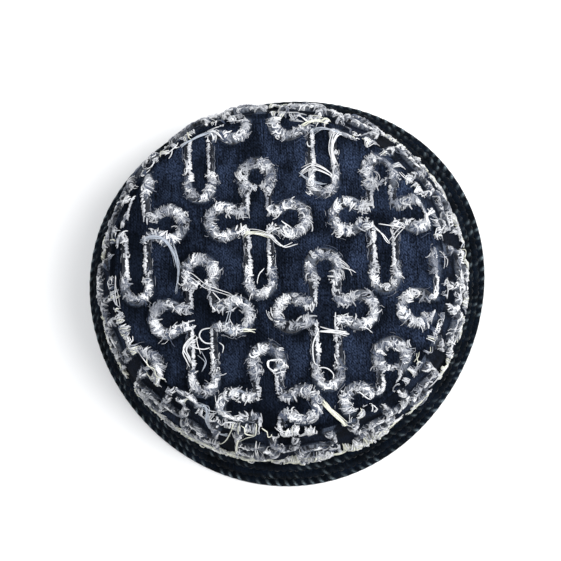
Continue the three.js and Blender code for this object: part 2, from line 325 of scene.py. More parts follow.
def tip_surface(x, y):
    """Height of the finished tip, and its marks."""
    border = nearest([cross_field(*tip_to_cross(x, y, cross)) for cross in tip_crosses])
    reach = tip_reach(x, y)
    shown = ease(*TIP_SHOWN, reach)
    height = tip_height(x, y) + cloth_relief(*border) * shown
    height += (bumpy(TIP_PUFF, x, y) + bumpy(TIP_CREASES, x, y)) * shown
    gathers = np.sin(GATHERS * np.arctan2(y, x) + bumpy(GATHER_WANDER, x, y))
    height += GATHER_HEIGHT * gathers * ease(*GATHER_FROM, reach) * np.sqrt(shown)
    groove = bell(reach - GROOVE_AT, GROOVE_WIDTH)
    dye_and_shade, worn = cloth_marks(*border)
    # Darker towards the front left and paler towards the back right
    front_left = 1 - (x * np.cos(PALER_TOWARDS) + y * np.sin(PALER_TOWARDS)) / SEAM.radius
    # The seam's groove gets painted shade as well as its depth
    dye_and_shade = BORDER_DYE_AND_SHADE * dye_and_shade * shown + FRONT_LEFT_DARKENING * front_left + GROOVE_SHADE * groove
    return height - GROOVE_DEPTH * groove, dye_and_shade, worn * shown


def tucked(height):
    """How far the seam draws the side in at this height."""
    return TUCK * ease(SEAM.height - TUCK_FROM, SEAM.height, height)


def side_surface(height, angle):
    """Radius of the finished side, and its marks."""
    crosses = side_crosses + foot_crosses
    border = nearest([cross_field(*side_to_cross(height, angle, cross)) for cross in crosses])
    shown = ease(*HEM_SHOWN, height - HEM.height) * ease(*SEAM_SHOWN, height - SEAM.height)
    radius = side_radius(height, angle) + cloth_relief(*border) * shown
    radius += bumpy(SIDE_PUFF, SIDE_ROUND * np.cos(angle), SIDE_ROUND * np.sin(angle) + height) * shown
    dye_and_shade, worn = cloth_marks(*border)
    # The whole side gets painted shade over its other marks
    return radius - tucked(height), BORDER_DYE_AND_SHADE * dye_and_shade + SIDE_SHADE, worn


print("the side is drawn in", float(tucked(SEAM.height)), "mm at the seam")

# %% [markdown]
# ## Materials
#
# Colours are written as sRGB hex values, as a dye card would give them, and one function turns them to
# the linear values that the shaders count in. One more function adds a node, sets what is given as a
# value and links what is given as a node or a socket, so that each material reads from top to bottom.

# %% Colours and nodes
FACTOR, UNDER, OVER = 0, 6, 7  # a Mix node's inputs for colours, by number because several share a name


def linear(colour):
    """An sRGB hex colour as linear red, green, blue and alpha."""
    parts = [int(colour[i : i + 2], 16) / 255 for i in (1, 3, 5)]
    return (*[c / 12.92 if c <= 0.04045 else ((c + 0.055) / 1.055) ** 2.4 for c in parts], 1.0)


def add_node(tree, kind, inputs=None, **settings):
    """A new shader node with its settings. An input given as a socket, or as a node for that node's first
    output in use, is linked, and any other is set."""
    made = tree.nodes.new("ShaderNode" + kind)
    for key, value in settings.items():
        setattr(made, key, value)
    for key, value in (inputs or {}).items():
        if isinstance(value, bpy.types.Node):
            value = next(socket for socket in value.outputs if socket.enabled)
        if isinstance(value, bpy.types.NodeSocket):
            tree.links.new(value, made.inputs[key])
        else:
            made.inputs[key].default_value = value
    return made


def new_material(name):
    material = bpy.data.materials.new(name)
    material.use_nodes = True
    material.node_tree.nodes.clear()
    return material, material.node_tree


print("middle grey in linear light:", round(linear("#808080")[0], 3))

# %% [markdown]
# ## Indigo denim
#
# Denim is a cotton twill. The lengthwise yarn is dyed indigo and covers the face, and the undyed
# crosswise yarn only peeps through along slanted lines, so the eye sees near-black blue with a fine
# pale speckle, faded in patches and streaked along the yarn. The weave could be modelled yarn by yarn,
# but at half a millimetre a yarn it is finer than the picture, so it is drawn by textures over a map in
# millimetres, a little coarser than it really is.

# %% Denim
YARN = 0.7  # real yarns lie about 0.45 mm apart, drawn coarser so that they show
TWILL = 1.4  # slanted lines of the weave, about as far apart as real ones
WASH = 15  # faded patches
SLUB = 9  # length of a thick place in a yarn
FLECK = 0.6  # a fleck's width as a share of its length
WAVE = 2 * math.pi / 20  # width of a band of Blender's wave texture at scale 1, and slanted twice that
PATCHES = 0.6  # share of the fading that lies in patches, and the rest in streaks
DARKEST, PALEST = 0.42, 0.58  # where the fading's noise gives the deepest and the most faded cloth
TURNED = 3.0  # how much more undyed yarn shows on the wrong side
DYE_AND_SHADE_DEPTH = 0.4  # how far marked cloth goes towards the deepest indigo, by darker dye and by painted shade
RELIEF = 0.3  # height of the weave


def denim(name, dark, mid, faded, weft, brushed, flecks):
    """Woven denim: its deep, usual and faded indigo, its undyed yarn, the colour of a brushed edge and
    how strongly the undyed yarn shows on the face."""
    material, tree = new_material(name)
    cloth = add_node(tree, "UVMap", uv_map="cloth")
    marks = [add_node(tree, "Attribute", attribute_name=mark) for mark in ("dye_and_shade", "worn", "reverse")]
    dye_and_shade, worn, reverse = (mark.outputs["Fac"] for mark in marks)

    # Washed patches, with streaks along the lengthwise yarn
    patches = add_node(tree, "TexNoise", {"Vector": cloth, "Scale": 1 / WASH, "Detail": 3.0})
    drawn = add_node(tree, "Mapping", {"Vector": cloth, "Scale": (1 / YARN, 1 / SLUB, 1.0)})
    streaks = add_node(tree, "TexNoise", {"Vector": drawn, "Scale": 1.0, "Detail": 2.0})
    part = add_node(tree, "Math", {0: streaks, 1: 1 - PATCHES}, operation="MULTIPLY")
    wash = add_node(tree, "Math", {0: patches, 1: PATCHES, 2: part}, operation="MULTIPLY_ADD")
    ground = add_node(tree, "ValToRGB", {"Fac": wash})
    low, high = ground.color_ramp.elements
    low.position, low.color = DARKEST, linear(dark)
    high.position, high.color = PALEST, linear(faded)
    ground.color_ramp.elements.new((DARKEST + PALEST) / 2).color = linear(mid)

    # The undyed yarn, as broken slanted lines of flecks
    broken = {"Distortion": 5.0, "Detail": 3.0, "Detail Scale": 1.6}
    slanted = {"Vector": cloth, "Scale": 2 * WAVE / TWILL, **broken}
    twill = add_node(tree, "TexWave", slanted, bands_direction="DIAGONAL").outputs["Fac"]
    upright = add_node(tree, "Mapping", {"Vector": cloth, "Scale": (1 / YARN, FLECK / YARN, 1.0)})
    grain = add_node(tree, "TexNoise", {"Vector": upright, "Scale": 1.0, "Detail": 3.0})
    lines = add_node(tree, "MapRange", {"Value": twill, "To Min": 0.82, "To Max": 1.0})
    fleck = add_node(tree, "Math", {0: lines, 1: grain}, operation="MULTIPLY")
    shown = add_node(tree, "MapRange", {"Value": fleck, "From Min": 0.33, "From Max": 0.67, "To Max": flecks})

    # More of it shows in washed patches, and far more on the wrong side
    fading = {"Value": wash, "From Min": DARKEST, "From Max": PALEST, "To Min": 0.35, "To Max": 1.65}
    bared = add_node(tree, "MapRange", fading)
    turned = add_node(tree, "Math", {0: reverse, 1: TURNED, 2: bared}, operation="MULTIPLY_ADD")
    undyed = add_node(tree, "Math", {0: turned, 1: shown}, operation="MULTIPLY")
    woven = add_node(tree, "Mix", {FACTOR: undyed, UNDER: ground, OVER: linear(weft)}, data_type="RGBA")

    # Marked cloth is darker: darker dye with painted shade in the windows, painted shade beside the raised
    # edges, in the seam's groove and over the side, and darker towards the front left. Brushed edges are pale
    # wherever the grain stands up
    kept = add_node(tree, "Math", {0: dye_and_shade, 1: DYE_AND_SHADE_DEPTH}, operation="MULTIPLY")
    deep = add_node(tree, "Mix", {FACTOR: kept, UNDER: woven, OVER: linear(dark)}, data_type="RGBA")
    standing = {"Value": grain, "From Min": 0.35, "From Max": 0.65, "To Min": 0.35, "To Max": 1.0}
    nap = add_node(tree, "MapRange", standing)
    raised = add_node(tree, "Math", {0: worn, 1: nap}, operation="MULTIPLY")
    colour = add_node(tree, "Mix", {FACTOR: raised, UNDER: deep, OVER: linear(brushed)}, data_type="RGBA")

    # Yarn-high relief. Dyed cotton is matt, and its hairs break up nearly all of the mirror light.
    relief = add_node(tree, "Math", {0: twill, 1: grain}, operation="ADD")
    bump = add_node(tree, "Bump", {"Strength": 0.4, "Distance": RELIEF * MM, "Height": relief})
    matt = {"Roughness": 0.95, "IOR": 1.5, "Specular IOR Level": 0.02}
    shader = add_node(tree, "BsdfPrincipled", {"Base Color": colour, "Normal": bump, **matt})
    add_node(tree, "OutputMaterial", {"Surface": shader})
    return material


crown_denim = denim("washed_indigo_denim", "#030509", "#070b14", "#101725", "#667aa2", "#6c778a", 0.2)
band_denim = denim("roped_indigo_denim", "#010305", "#020509", "#050a11", "#30486a", "#8b9ba3", 0.06)
print("denims:", crown_denim.name, band_denim.name)

# %% [markdown]
# ## Frayed cotton yarn
#
# Where denim is cut and brushed, the undyed crosswise yarn comes loose as white fluff, mixed with short
# ends of blue yarn. A hair system could grow it, but plain tubes stay in the exported model. Each strand
# carries its own colour, from blue-grey to white or cream, and the material adds the uneven fibres.

# %% Yarn
FIBRE = 0.5  # length of a light or dark place on a strand


def cotton_yarn(name):
    material, tree = new_material(name)
    tint = add_node(tree, "Attribute", attribute_name="tint").outputs["Color"]
    place = add_node(tree, "TexCoord").outputs["Object"]
    fibres = add_node(tree, "TexNoise", {"Vector": place, "Scale": 1 / (FIBRE * MM), "Detail": 2.0})
    uneven = {"Value": fibres, "From Min": 0.3, "From Max": 0.7, "To Min": 0.75, "To Max": 1.05}
    shade = add_node(tree, "MapRange", uneven)
    shaded = {FACTOR: 1.0, UNDER: tint, OVER: shade}
    colour = add_node(tree, "Mix", shaded, data_type="RGBA", blend_type="MULTIPLY")
    matt = {"Roughness": 0.9, "IOR": 1.5, "Specular IOR Level": 0.1}
    hairs = {"Sheen Weight": 0.1, "Sheen Roughness": 0.5}
    shader = add_node(tree, "BsdfPrincipled", {"Base Color": colour, **matt, **hairs})
    add_node(tree, "OutputMaterial", {"Surface": shader})
    return material


frayed_yarn = cotton_yarn("brushed_cotton_yarn")
sewing_thread = cotton_yarn("spun_sewing_thread")
print("yarns:", frayed_yarn.name, sewing_thread.name)

# %% [markdown]
# ## Crown tip
#
# The tip is one round of denim with its backing cloth. A disc could be made of rings, but their middle
# is too dense and their edge too coarse. A square grid that is drawn out to a round border keeps the
# points about a millimetre apart all over. Its edge is tucked down into the seam.

# %% Crown tip
TIP_POINTS = 171  # along each side of the grid
TIP_TUCKED = (0.97, 1.0)  # shares of the tip over which its lower face is drawn in
UNDER_PUFF = TIP_PUFF._replace(height=0.3)
MAP_START = 200  # keeps the map's measures above 0


def face_marks(dye_and_shade, worn, inner_points):
    """Marks for the points of the outer face, which come first, and of the wrong side."""
    inside = np.zeros(inner_points)
    return {
        "dye_and_shade": np.concatenate([dye_and_shade.ravel(), inside]),
        "worn": np.concatenate([worn.ravel(), inside]),
        "reverse": np.concatenate([np.zeros(dye_and_shade.size), inside + 1]),
    }


steps = np.linspace(-1, 1, TIP_POINTS)
across, along = np.meshgrid(steps, steps, indexing="ij")
turn = np.arctan2(along, across)
reach = np.maximum(np.abs(across), np.abs(along))
radius = reach * SEAM.radius * plan_factor(SEAM.height, turn)
x, y = radius * np.cos(turn), radius * np.sin(turn)
top, dye_and_shade, worn = tip_surface(x, y)
inward = 1 - TUCK / SEAM.radius * ease(*TIP_TUCKED, reach)
under = tip_height(x, y) - CLOTH + bumpy(UNDER_PUFF, x, y) * ease(*TIP_SHOWN, reach)
upper_points = np.stack([x, y, top], axis=-1).reshape(-1, 3)
lower_points = np.stack([x * inward, y * inward, under], axis=-1).reshape(-1, 3)
tip_points = np.concatenate([upper_points, lower_points])

index = np.arange(TIP_POINTS**2).reshape(TIP_POINTS, TIP_POINTS)
upper = np.stack([index[:-1, :-1], index[1:, :-1], index[1:, 1:], index[:-1, 1:]], axis=-1).reshape(-1, 4)
lower = upper[:, ::-1] + index.size
edge = np.concatenate([index[:-1, 0], index[-1, :-1], index[:0:-1, -1], index[0, :0:-1]])
following = np.roll(edge, -1)
wall = np.stack([edge + index.size, following + index.size, following, edge], axis=-1)
tip_faces = np.concatenate([upper, lower, wall])

flat = np.stack(tip_to_cross(tip_points[:, 0], tip_points[:, 1], (0, 0)), axis=-1)
mesh_piece(
    "crown_tip_cloth", tip_points, tip_faces, crown_denim, ["crown_tip"],
    maps={"cloth": flat[tip_faces] + MAP_START},
    values=face_marks(dye_and_shade, worn, index.size),
)

# %% [markdown]
# ## Rings of cloth
#
# The side and the band are both closed rings with an outer and an inner face. Such a ring could be turned
# on a lathe, but here it is a grid that closes both ways: round the hat, and round its own section. The
# texture map is given at the corners of the faces, not at the points, so that the cloth's pattern doesn't
# run backwards where the ring closes.

# %% Closed rings
def quads(grids):
    """The four corners of each cell, in one grid or several."""
    return np.stack([grids[:, :-1, :-1], grids[:, :-1, 1:], grids[:, 1:, 1:], grids[:, 1:, :-1]], axis=3)


def ring_faces(rows, columns):
    index = np.arange(rows * columns).reshape(rows, columns)
    return quads(np.pad(index, (0, 1), mode="wrap")[None]).reshape(-1, 4)


def ring_map(lengths, widths):
    """Corners of the ring's cloth map: lengths round the hat and widths over its section."""
    u = np.append(lengths, 2 * lengths[-1] - lengths[-2])
    v = np.append(widths, 2 * widths[-1] - widths[-2])
    return quads(np.stack(np.meshgrid(u, v), axis=-1)[None]).reshape(-1, 2)


def ring_points(radius, height, angle):
    return np.stack(np.broadcast_arrays(radius * np.cos(angle), radius * np.sin(angle), height), axis=-1)


print("faces of a ring of 2 rows and 3 columns:", len(ring_faces(2, 3)))

# %% [markdown]
# ## Crown side
#
# The side is a strip of the same denim, joined into a tapered tube. It is tucked into the seam at the
# top, and its lower edge is cut raw, so it hangs over the band in short uneven locks. Single flaps could
# be modelled for these, but it is enough to let the ring's lowest rows drop by an uneven amount.

# %% Crown side
HEM_LOCK, HEM_LOCK_SPREAD, HEM_LOCKS, HEM_TUFTS = 2.2, 1.1, 23, 9
HEM_ROUND, HEM_RAGS = 88, Bumps(0.5, 2.2, 11)  # small rags of the locks, laid out on a ring of this radius
HANG_FROM = 3  # how far above the hem the locks begin to drop
BAND_SLOPE = (RIM.radius - (HEM.radius - CLOTH - GAP)) / (HEM.height - RIM.height)
SIDE_COLUMNS, SIDE_OUTER_ROWS, SIDE_INNER_ROWS = 564, 46, 14

angle = np.arange(SIDE_COLUMNS) * 2 * np.pi / SIDE_COLUMNS
outer_height = np.linspace(HEM.height, SEAM.height - GAP / 2, SIDE_OUTER_ROWS)[:, None]
inner_height = np.linspace(SEAM.height - GAP / 2, HEM.height, SIDE_INNER_ROWS)[:, None]
outer_radius, dye_and_shade, worn = side_surface(outer_height, angle[None])
inner_radius = side_radius(inner_height, angle) - CLOTH - tucked(inner_height)
locks = HEM_LOCK + HEM_LOCK_SPREAD * np.sin(HEM_LOCKS * angle) * np.cos(HEM_TUFTS * angle)
ragged = locks + bumpy(HEM_RAGS, HEM_ROUND * np.cos(angle), HEM_ROUND * np.sin(angle))


def hang(radius, height):
    drop = ragged * ease(HEM.height + HANG_FROM, HEM.height, height)
    return ring_points(radius + drop * BAND_SLOPE, height - drop, angle)


side_points = np.concatenate([hang(outer_radius, outer_height), hang(inner_radius, inner_height)])
widths = np.concatenate([outer_height[:, 0], 2 * SEAM.height - inner_height[:, 0]])
mesh_piece(
    "crown_side_cloth", side_points.reshape(-1, 3), ring_faces(len(side_points), SIDE_COLUMNS),
    crown_denim, ["crown_side"],
    maps={"cloth": ring_map(angle * SIDE_MIDDLE_RADIUS, widths)},
    values=face_marks(dye_and_shade, worn, inner_radius.size),
)

# %% [markdown]
# ## Rim band
#
# The band is several layers of denim, sewn together in rows. Thread shorter than cloth draws it into
# slanted puckers, which makers call roping, and washing bleaches their crests to pale dots, most of all
# in the lowest row. Puckers could be left to a texture, but they catch the light, so they are real relief
# here: a wave along each row, slanted over the row, strongest beside the stitches and calm at the turned
# edge of the rim.

# %% Puckers of the band
BAND_ROWS, BAND_SWELL, BAND_GROOVE = 4, 0.6, 0.5
ROW_BLUNT = 0.6  # how flat-topped a row swells between its stitches
PUCKERS = [128, 133, 127, 121]  # round each row, from the rim up
PUCKER_HEIGHT, PUCKER_SHARP = 0.4, 1.2
PUCKER_BASE = 0.7  # share of its height that lies below the row's own swell
PUCKER_SLANT = 0.55  # share of a pucker's width that it leans over its row
PUCKER_MIDDLE = 0.45  # its strength in the middle of a row, against 1 beside the stitches
PUCKER_MEAN, PUCKER_UNEVEN = 0.75, Bumps(0.35, 9, 30)
PUCKER_WANDER = Bumps(1.3, 13, 20)
PUCKER_END = 0.55  # where the top row's puckers begin to die out under the hem
RIM_CALM, RIM_LEAST = 0.35, 0.25  # up to this share of the first row its puckers grow, from this strength
# Pale dots: how high up a crest they begin, and where over the row. Strong puckers are bleached more, and
# the rows above the first one less.
BLEACHED_CREST, BLEACHED_AT, BLEACHED_WIDTH = 0.62, 0.35, 0.45
RIM_BLEACHED, ROW_BLEACHED, ROW_PALE = (0.2, 1.0), (0.6, 1.2), 0.5
BAND_COLUMNS, BAND_STEPS = 1120, 12
BAND_ROUND = 95  # radius on which the band's patterns are laid out

slope = math.atan(BAND_SLOPE)
band_length = (HEM.height - RIM.height) / math.cos(slope)
row_width = band_length / BAND_ROWS
angle = np.arange(BAND_COLUMNS) * 2 * np.pi / BAND_COLUMNS
ring_x, ring_y = BAND_ROUND * np.cos(angle), BAND_ROUND * np.sin(angle)


def band_row(row, puckers):
    """How far up the band and out from its face the points of a row lie, and how bleached they are."""
    top = row == BAND_ROWS - 1
    share = np.linspace(0, 1, BAND_STEPS, endpoint=top)[:, None]
    wander = bumpy(PUCKER_WANDER._replace(seed=PUCKER_WANDER.seed + row), ring_x, ring_y)
    crest = (0.5 + 0.5 * np.sin(puckers * angle + 2 * np.pi * PUCKER_SLANT * share + wander)) ** PUCKER_SHARP
    uneven = PUCKER_MEAN + bumpy(PUCKER_UNEVEN._replace(seed=PUCKER_UNEVEN.seed + row), ring_x, ring_y)
    strength = mix(PUCKER_MIDDLE, 1.0, np.abs(np.cos(np.pi * share)))
    strength = strength * mix(RIM_LEAST, 1.0, ease(0, RIM_CALM, row + share))
    held = np.sin(np.pi * share) ** ROW_BLUNT
    swell = mix(-BAND_GROOVE, BAND_SWELL, held)
    if top:
        strength = strength * ease(1.0, PUCKER_END, share)
        swell = -BAND_GROOVE * (1 - held) * (1 - share)
    bleached = ROW_PALE * ease(*ROW_BLEACHED, uneven) if row else ease(*RIM_BLEACHED, uneven)
    worn = ease(BLEACHED_CREST, 1.0, crest) * bleached * bell(share - BLEACHED_AT, BLEACHED_WIDTH)
    up = np.broadcast_to((row + share) * row_width, crest.shape)
    return up, swell + PUCKER_HEIGHT * (crest - PUCKER_BASE) * uneven * strength, worn


band_rows = [band_row(row, puckers) for row, puckers in enumerate(PUCKERS)]
outer_up, outer_out, worn = (np.concatenate(part) for part in zip(*band_rows))
print("puckers stand up to", round(float(np.ptp(outer_out, axis=1).max()), 2), "mm high")

# %% Rim band
BAND_THICKNESS, BAND_TUCK, RIM_FLAT = 3, 8, 2.4
INNER_ROWS, INNER_TOP, INNER_FOOT = 10, 0.88, 0.14  # the wrong side
INNER_WAVE, INNER_TURN = 0.25, 4  # it is slightly wavy, with this turn of the wave from row to row
INNER_STEP = 3.5  # between its rows on the cloth map


def band_at(up, out):
    """Radius and height of a point up along the band from the rim, and out from its face."""
    radius = RIM.radius - up * math.sin(slope) + out * math.cos(slope)
    return radius, np.maximum(RIM.height + up * math.cos(slope) + out * math.sin(slope), 0)


def inner_row(i):
    up = mix(INNER_TOP, INNER_FOOT, i / (INNER_ROWS - 1)) * band_length
    return band_at(up, -BAND_THICKNESS + INNER_WAVE * math.cos(INNER_TURN * i))


outer_radius, outer_height = band_at(outer_up, outer_out)
tuck_height = HEM.height + BAND_TUCK
tuck_radius = mix(HEM.radius, SEAM.radius, BAND_TUCK / (SEAM.height - HEM.height)) - CLOTH - GAP
rim_edge = RIM.radius - BAND_SWELL
inner = [
    (tuck_radius, tuck_height),
    (tuck_radius - CLOTH, tuck_height),
    band_at(band_length, -CLOTH - BAND_GROOVE),
    *[inner_row(i) for i in range(INNER_ROWS)],
    (rim_edge - RIM_FLAT, 0),
    (rim_edge, 0),
]
inner_radius, inner_height = np.array(inner).T[:, :, None] + np.zeros(BAND_COLUMNS)
radius = np.concatenate([outer_radius, inner_radius])
height = np.concatenate([outer_height, inner_height])
band_points = ring_points(radius * plan_factor(height, angle), height, angle)
widths = np.concatenate([outer_up[:, 0], band_length + INNER_STEP * np.arange(len(inner))])
mesh_piece(
    "rim_band_cloth", band_points.reshape(-1, 3), ring_faces(len(radius), BAND_COLUMNS),
    band_denim, ["rim_band"],
    maps={"cloth": ring_map(angle * BAND_ROUND, widths)},
    values=face_marks(np.zeros(worn.shape), worn, inner_radius.size),
)

# %% [markdown]
# ## Strands
#
# All yarn is made the same way: a path for each strand, as an array of points, becomes a thin tube with
# three sides, thick in the middle and thinner at its ends. Curve objects with a round section could do
# that too, but three sides are enough at half a millimetre and keep thousands of strands light. Each
# strand gets a cell of its own in the texture map, so that its colour stays its own when the model is
# baked.

# %% Tubes from paths
Bundle = namedtuple("Bundle", "paths thickness tint")
Mesh = namedtuple("Mesh", "points faces corners tint")
SIDES = 3
TAPER_END, TAPER_CUT, TAPER_BLUNT = 0.35, 0.1, 0.7
STRAND_SHARE, CELL_MARGIN = 0.6, 0.1  # part of the texture map for the strands, and room between its cells
TINY = 1e-9


def unit(vectors):
    return vectors / (np.linalg.norm(vectors, axis=2, keepdims=True) + TINY)


def tubes(bundle, first_cell, cells):
    """Tubes along the paths of a bundle, an array of strand by point by x, y, z."""
    count, steps = bundle.paths.shape[:2]
    way = unit(np.gradient(bundle.paths, axis=1))
    side = unit(np.cross(way, chance.normal(size=(count, 1, 3))))
    other = np.cross(way, side)
    turn = 2 * np.pi * np.arange(SIDES) / SIDES
    ring = side[:, :, None] * np.cos(turn)[:, None] + other[:, :, None] * np.sin(turn)[:, None]
    swell = np.sin(np.pi * np.linspace(TAPER_CUT, 1 - TAPER_CUT, steps)) ** TAPER_BLUNT
    radius = bundle.thickness[:, None] * mix(TAPER_END, 1.0, swell) / 2
    points = bundle.paths[:, :, None] + ring * radius[:, :, None, None]

    index = np.arange(count * steps * SIDES).reshape(count, steps, SIDES)
    faces = quads(np.concatenate([index, index[:, :, :1]], axis=2)).reshape(-1, 4)

    cell = first_cell + np.arange(count)
    room = 1 - 2 * CELL_MARGIN
    u = (cell % cells)[:, None] + CELL_MARGIN + room * np.arange(SIDES + 1) / SIDES
    v = (cell // cells)[:, None] + CELL_MARGIN + room * np.arange(steps) / (steps - 1)
    grid = np.stack(np.broadcast_arrays(u[:, None, :], v[:, :, None] * STRAND_SHARE), axis=-1) / cells
    tint = np.repeat(bundle.tint, steps * SIDES, axis=0)
    return Mesh(points.reshape(-1, 3), faces, quads(grid).reshape(-1, 2), tint)


# %% A piece of yarn
def yarn_piece(name, bundles, material, nodes=(), core=None):
    """One piece from bundles of strands and the matted core that they lie on, if there is one."""
    cells = math.ceil(math.sqrt(sum(len(bundle.paths) for bundle in bundles)))
    meshes = [core] if core else []
    cell = 0
    for bundle in bundles:
        meshes.append(tubes(bundle, cell, cells))
        cell += len(bundle.paths)
    starts = np.cumsum([0] + [len(mesh.points) for mesh in meshes])
    return mesh_piece(
        name,
        np.concatenate([mesh.points for mesh in meshes]),
        np.concatenate([mesh.faces + start for mesh, start in zip(meshes, starts)]),
        material, nodes,
        maps={"OFBake": np.concatenate([mesh.corners for mesh in meshes])},
        values={"tint": np.concatenate([mesh.tint for mesh in meshes])},
    )


# %% Locks and colours
# Yarn lies in locks: what chance gives a lock, its strands share, but for a small spread.
# The first colour is the near-black painted into the core's hollows as painted shade
CREVICE_SHADE, CORE_LIGHT, BLUE_GREY, WHITE, CREAM, BLUE, DARK_THREAD = (
    np.array(linear(colour))
    for colour in ("#10141c", "#a4acba", "#434d61", "#f2f3f5", "#eeefe0", "#bac2ce", "#0f131a")
)
DULLEST_CREAM = 0.7


def in_locks(locks, strands):
    """A function for chance values between two limits, one for each strand of so many locks."""

    def vary(low, high, spread):
        shared = np.repeat(chance.uniform(low, high, locks), strands)
        return (shared + spread * (high - low) * chance.normal(size=locks * strands))[:, None]

    return vary


def opaque(tints):
    tints[:, 3] = 1
    return tints


def yarn_tints(tone, cream=0):
    """A colour for each strand: its tone from blue-grey to white, and a share of them cream."""
    tint = mix(BLUE_GREY, WHITE, np.clip(tone, 0, 1)[:, None])
    picked = chance.random(len(tone)) < cream
    tint[picked] = CREAM * mix(DULLEST_CREAM, 1.0, chance.random((picked.sum(), 1)))
    return opaque(tint)


# %% [markdown]
# ## Frayed borders
#
# The border of each cross is a matted roll, the core, with strands lying on it. The core gives the fluff
# its body, and its colour is painted dark between its tufts as painted shade. Seven kinds of strand make its
# surface: yarn matted flat into it, yarn combed across it, curls on top, short stubs and lengthwise ends
# along the rolled edges of the limbs, a thin line of ends beside the roll, and strays. A table gives how many
# there are for each millimetre of border, along the limbs and round the ends, and between which limits each
# strand starts, ends, rises and curls. In some crosses more yarn hangs across the neck below the head. Fur
# could be combed by hand for the same look, but the table brushes every cross alike and none the same.

# %% Border line of a cross
Border = namedtuple("Border", "u v out_u out_v half fluff arm glow")
STEP = 0.2
OWN_PLACES = 400  # room in which each cross picks its own part of the chance patterns
WIDER, BRIGHTER = Bumps(0.15, 5, 61), Bumps(0.35, 7, 62)
MEAN_GLOW, GLOW_LIMITS = 0.85, (0.25, 1.3)


def border_line():
    """Points along the middle line of a cross's border, with the direction out of the cross."""
    parts = []
    for before, limb in zip(LIMBS[-1:] + LIMBS[:-1], LIMBS):
        middle = limb.end - limb.round
        start = -math.acos(min(1, limb.side / limb.round))
        long = np.arange(before.side, middle + limb.round * math.sin(start), STEP)
        bend = np.arange(start, math.pi - start, STEP / limb.round)
        along = np.concatenate([long, middle + limb.round * np.sin(bend), long[::-1]])
        across = np.concatenate([long * 0 + limb.side, limb.round * np.cos(bend), long * 0 - limb.side])
        out_along = np.concatenate([long * 0, np.sin(bend), long * 0])
        out_across = np.concatenate([long * 0 + 1, np.cos(bend), long * 0 - 1])
        cos, sin = np.cos(np.radians(limb.turn)), np.sin(np.radians(limb.turn))
        parts.append([
            across * cos - along * sin, across * sin + along * cos,
            out_across * cos - out_along * sin, out_across * sin + out_along * cos,
            *border_kind(limb, along), along * 0 + (limb.fluff_least > 0), along * 0 + limb.glow,
        ])
    return Border(*np.concatenate(parts, axis=1))


def own_border(wide):
    """The border of one cross, with wide and narrow, bright and dull places of its own."""
    u, v = np.stack([line.u, line.v]) + chance.uniform(0, OWN_PLACES, (2, 1))
    half = line.half * (wide * (1 + bumpy(WIDER, u, v)))
    glow = line.glow * np.clip(MEAN_GLOW + bumpy(BRIGHTER, u, v), *GLOW_LIMITS)
    return line._replace(half=half, glow=glow)


line = border_line()
print("border of a cross:", round(len(line.u) * STEP), "mm")

# %% Matted core
CORE_HEIGHT, CORE_LOW = 2.0, 0.35  # and its share of that along a bare rolled edge
CORE_WIDTH = 0.82  # as a share of the border's width
CORE_LUMPS, CORE_TUFTS = Bumps(0.65, 2.2, 51), Bumps(0.35, 1.2, 52)
LUMP_BASE, LUMP_SHARE, CORE_UNDER = 0.55, 0.65, 0.25  # how high it stands between and on lumps, and below
# How thin it is where it is cut off, over how many stations each way it thins, and for which share of them
CORE_CLOSED, CORE_CLOSING, CORE_HALF = 0.05, 4, 0.5
# How dark the core is painted in the hollows between its lumps, as painted shade, and along bare rolled
# edges, and how sharply
CORE_DULL, CORE_CONTRAST = 0.1, 1.8
CORE_EVERY, CORE_SIDES = 2, 10  # every second point of the border's line has a ring of ten
CORE_ROWS, CORE_MARGIN, CORE_ROOM = 8, 0.01, 0.9  # its rows in the texture map


def core_corners(stations):
    """The core's part of the texture map, in rows above the strands' cells."""
    long = math.ceil(stations / CORE_ROWS)
    u = np.arange(long + 1)[:, None] / long
    row = np.arange(CORE_ROWS)[:, None, None] + CORE_ROOM * np.arange(CORE_SIDES + 1) / CORE_SIDES
    v = mix(STRAND_SHARE + CORE_MARGIN, 1.0, row / CORE_ROWS)
    grids = np.stack(np.broadcast_arrays(u, v), axis=-1)
    return quads(grids).reshape(-1, CORE_SIDES, 4, 2)[:stations]


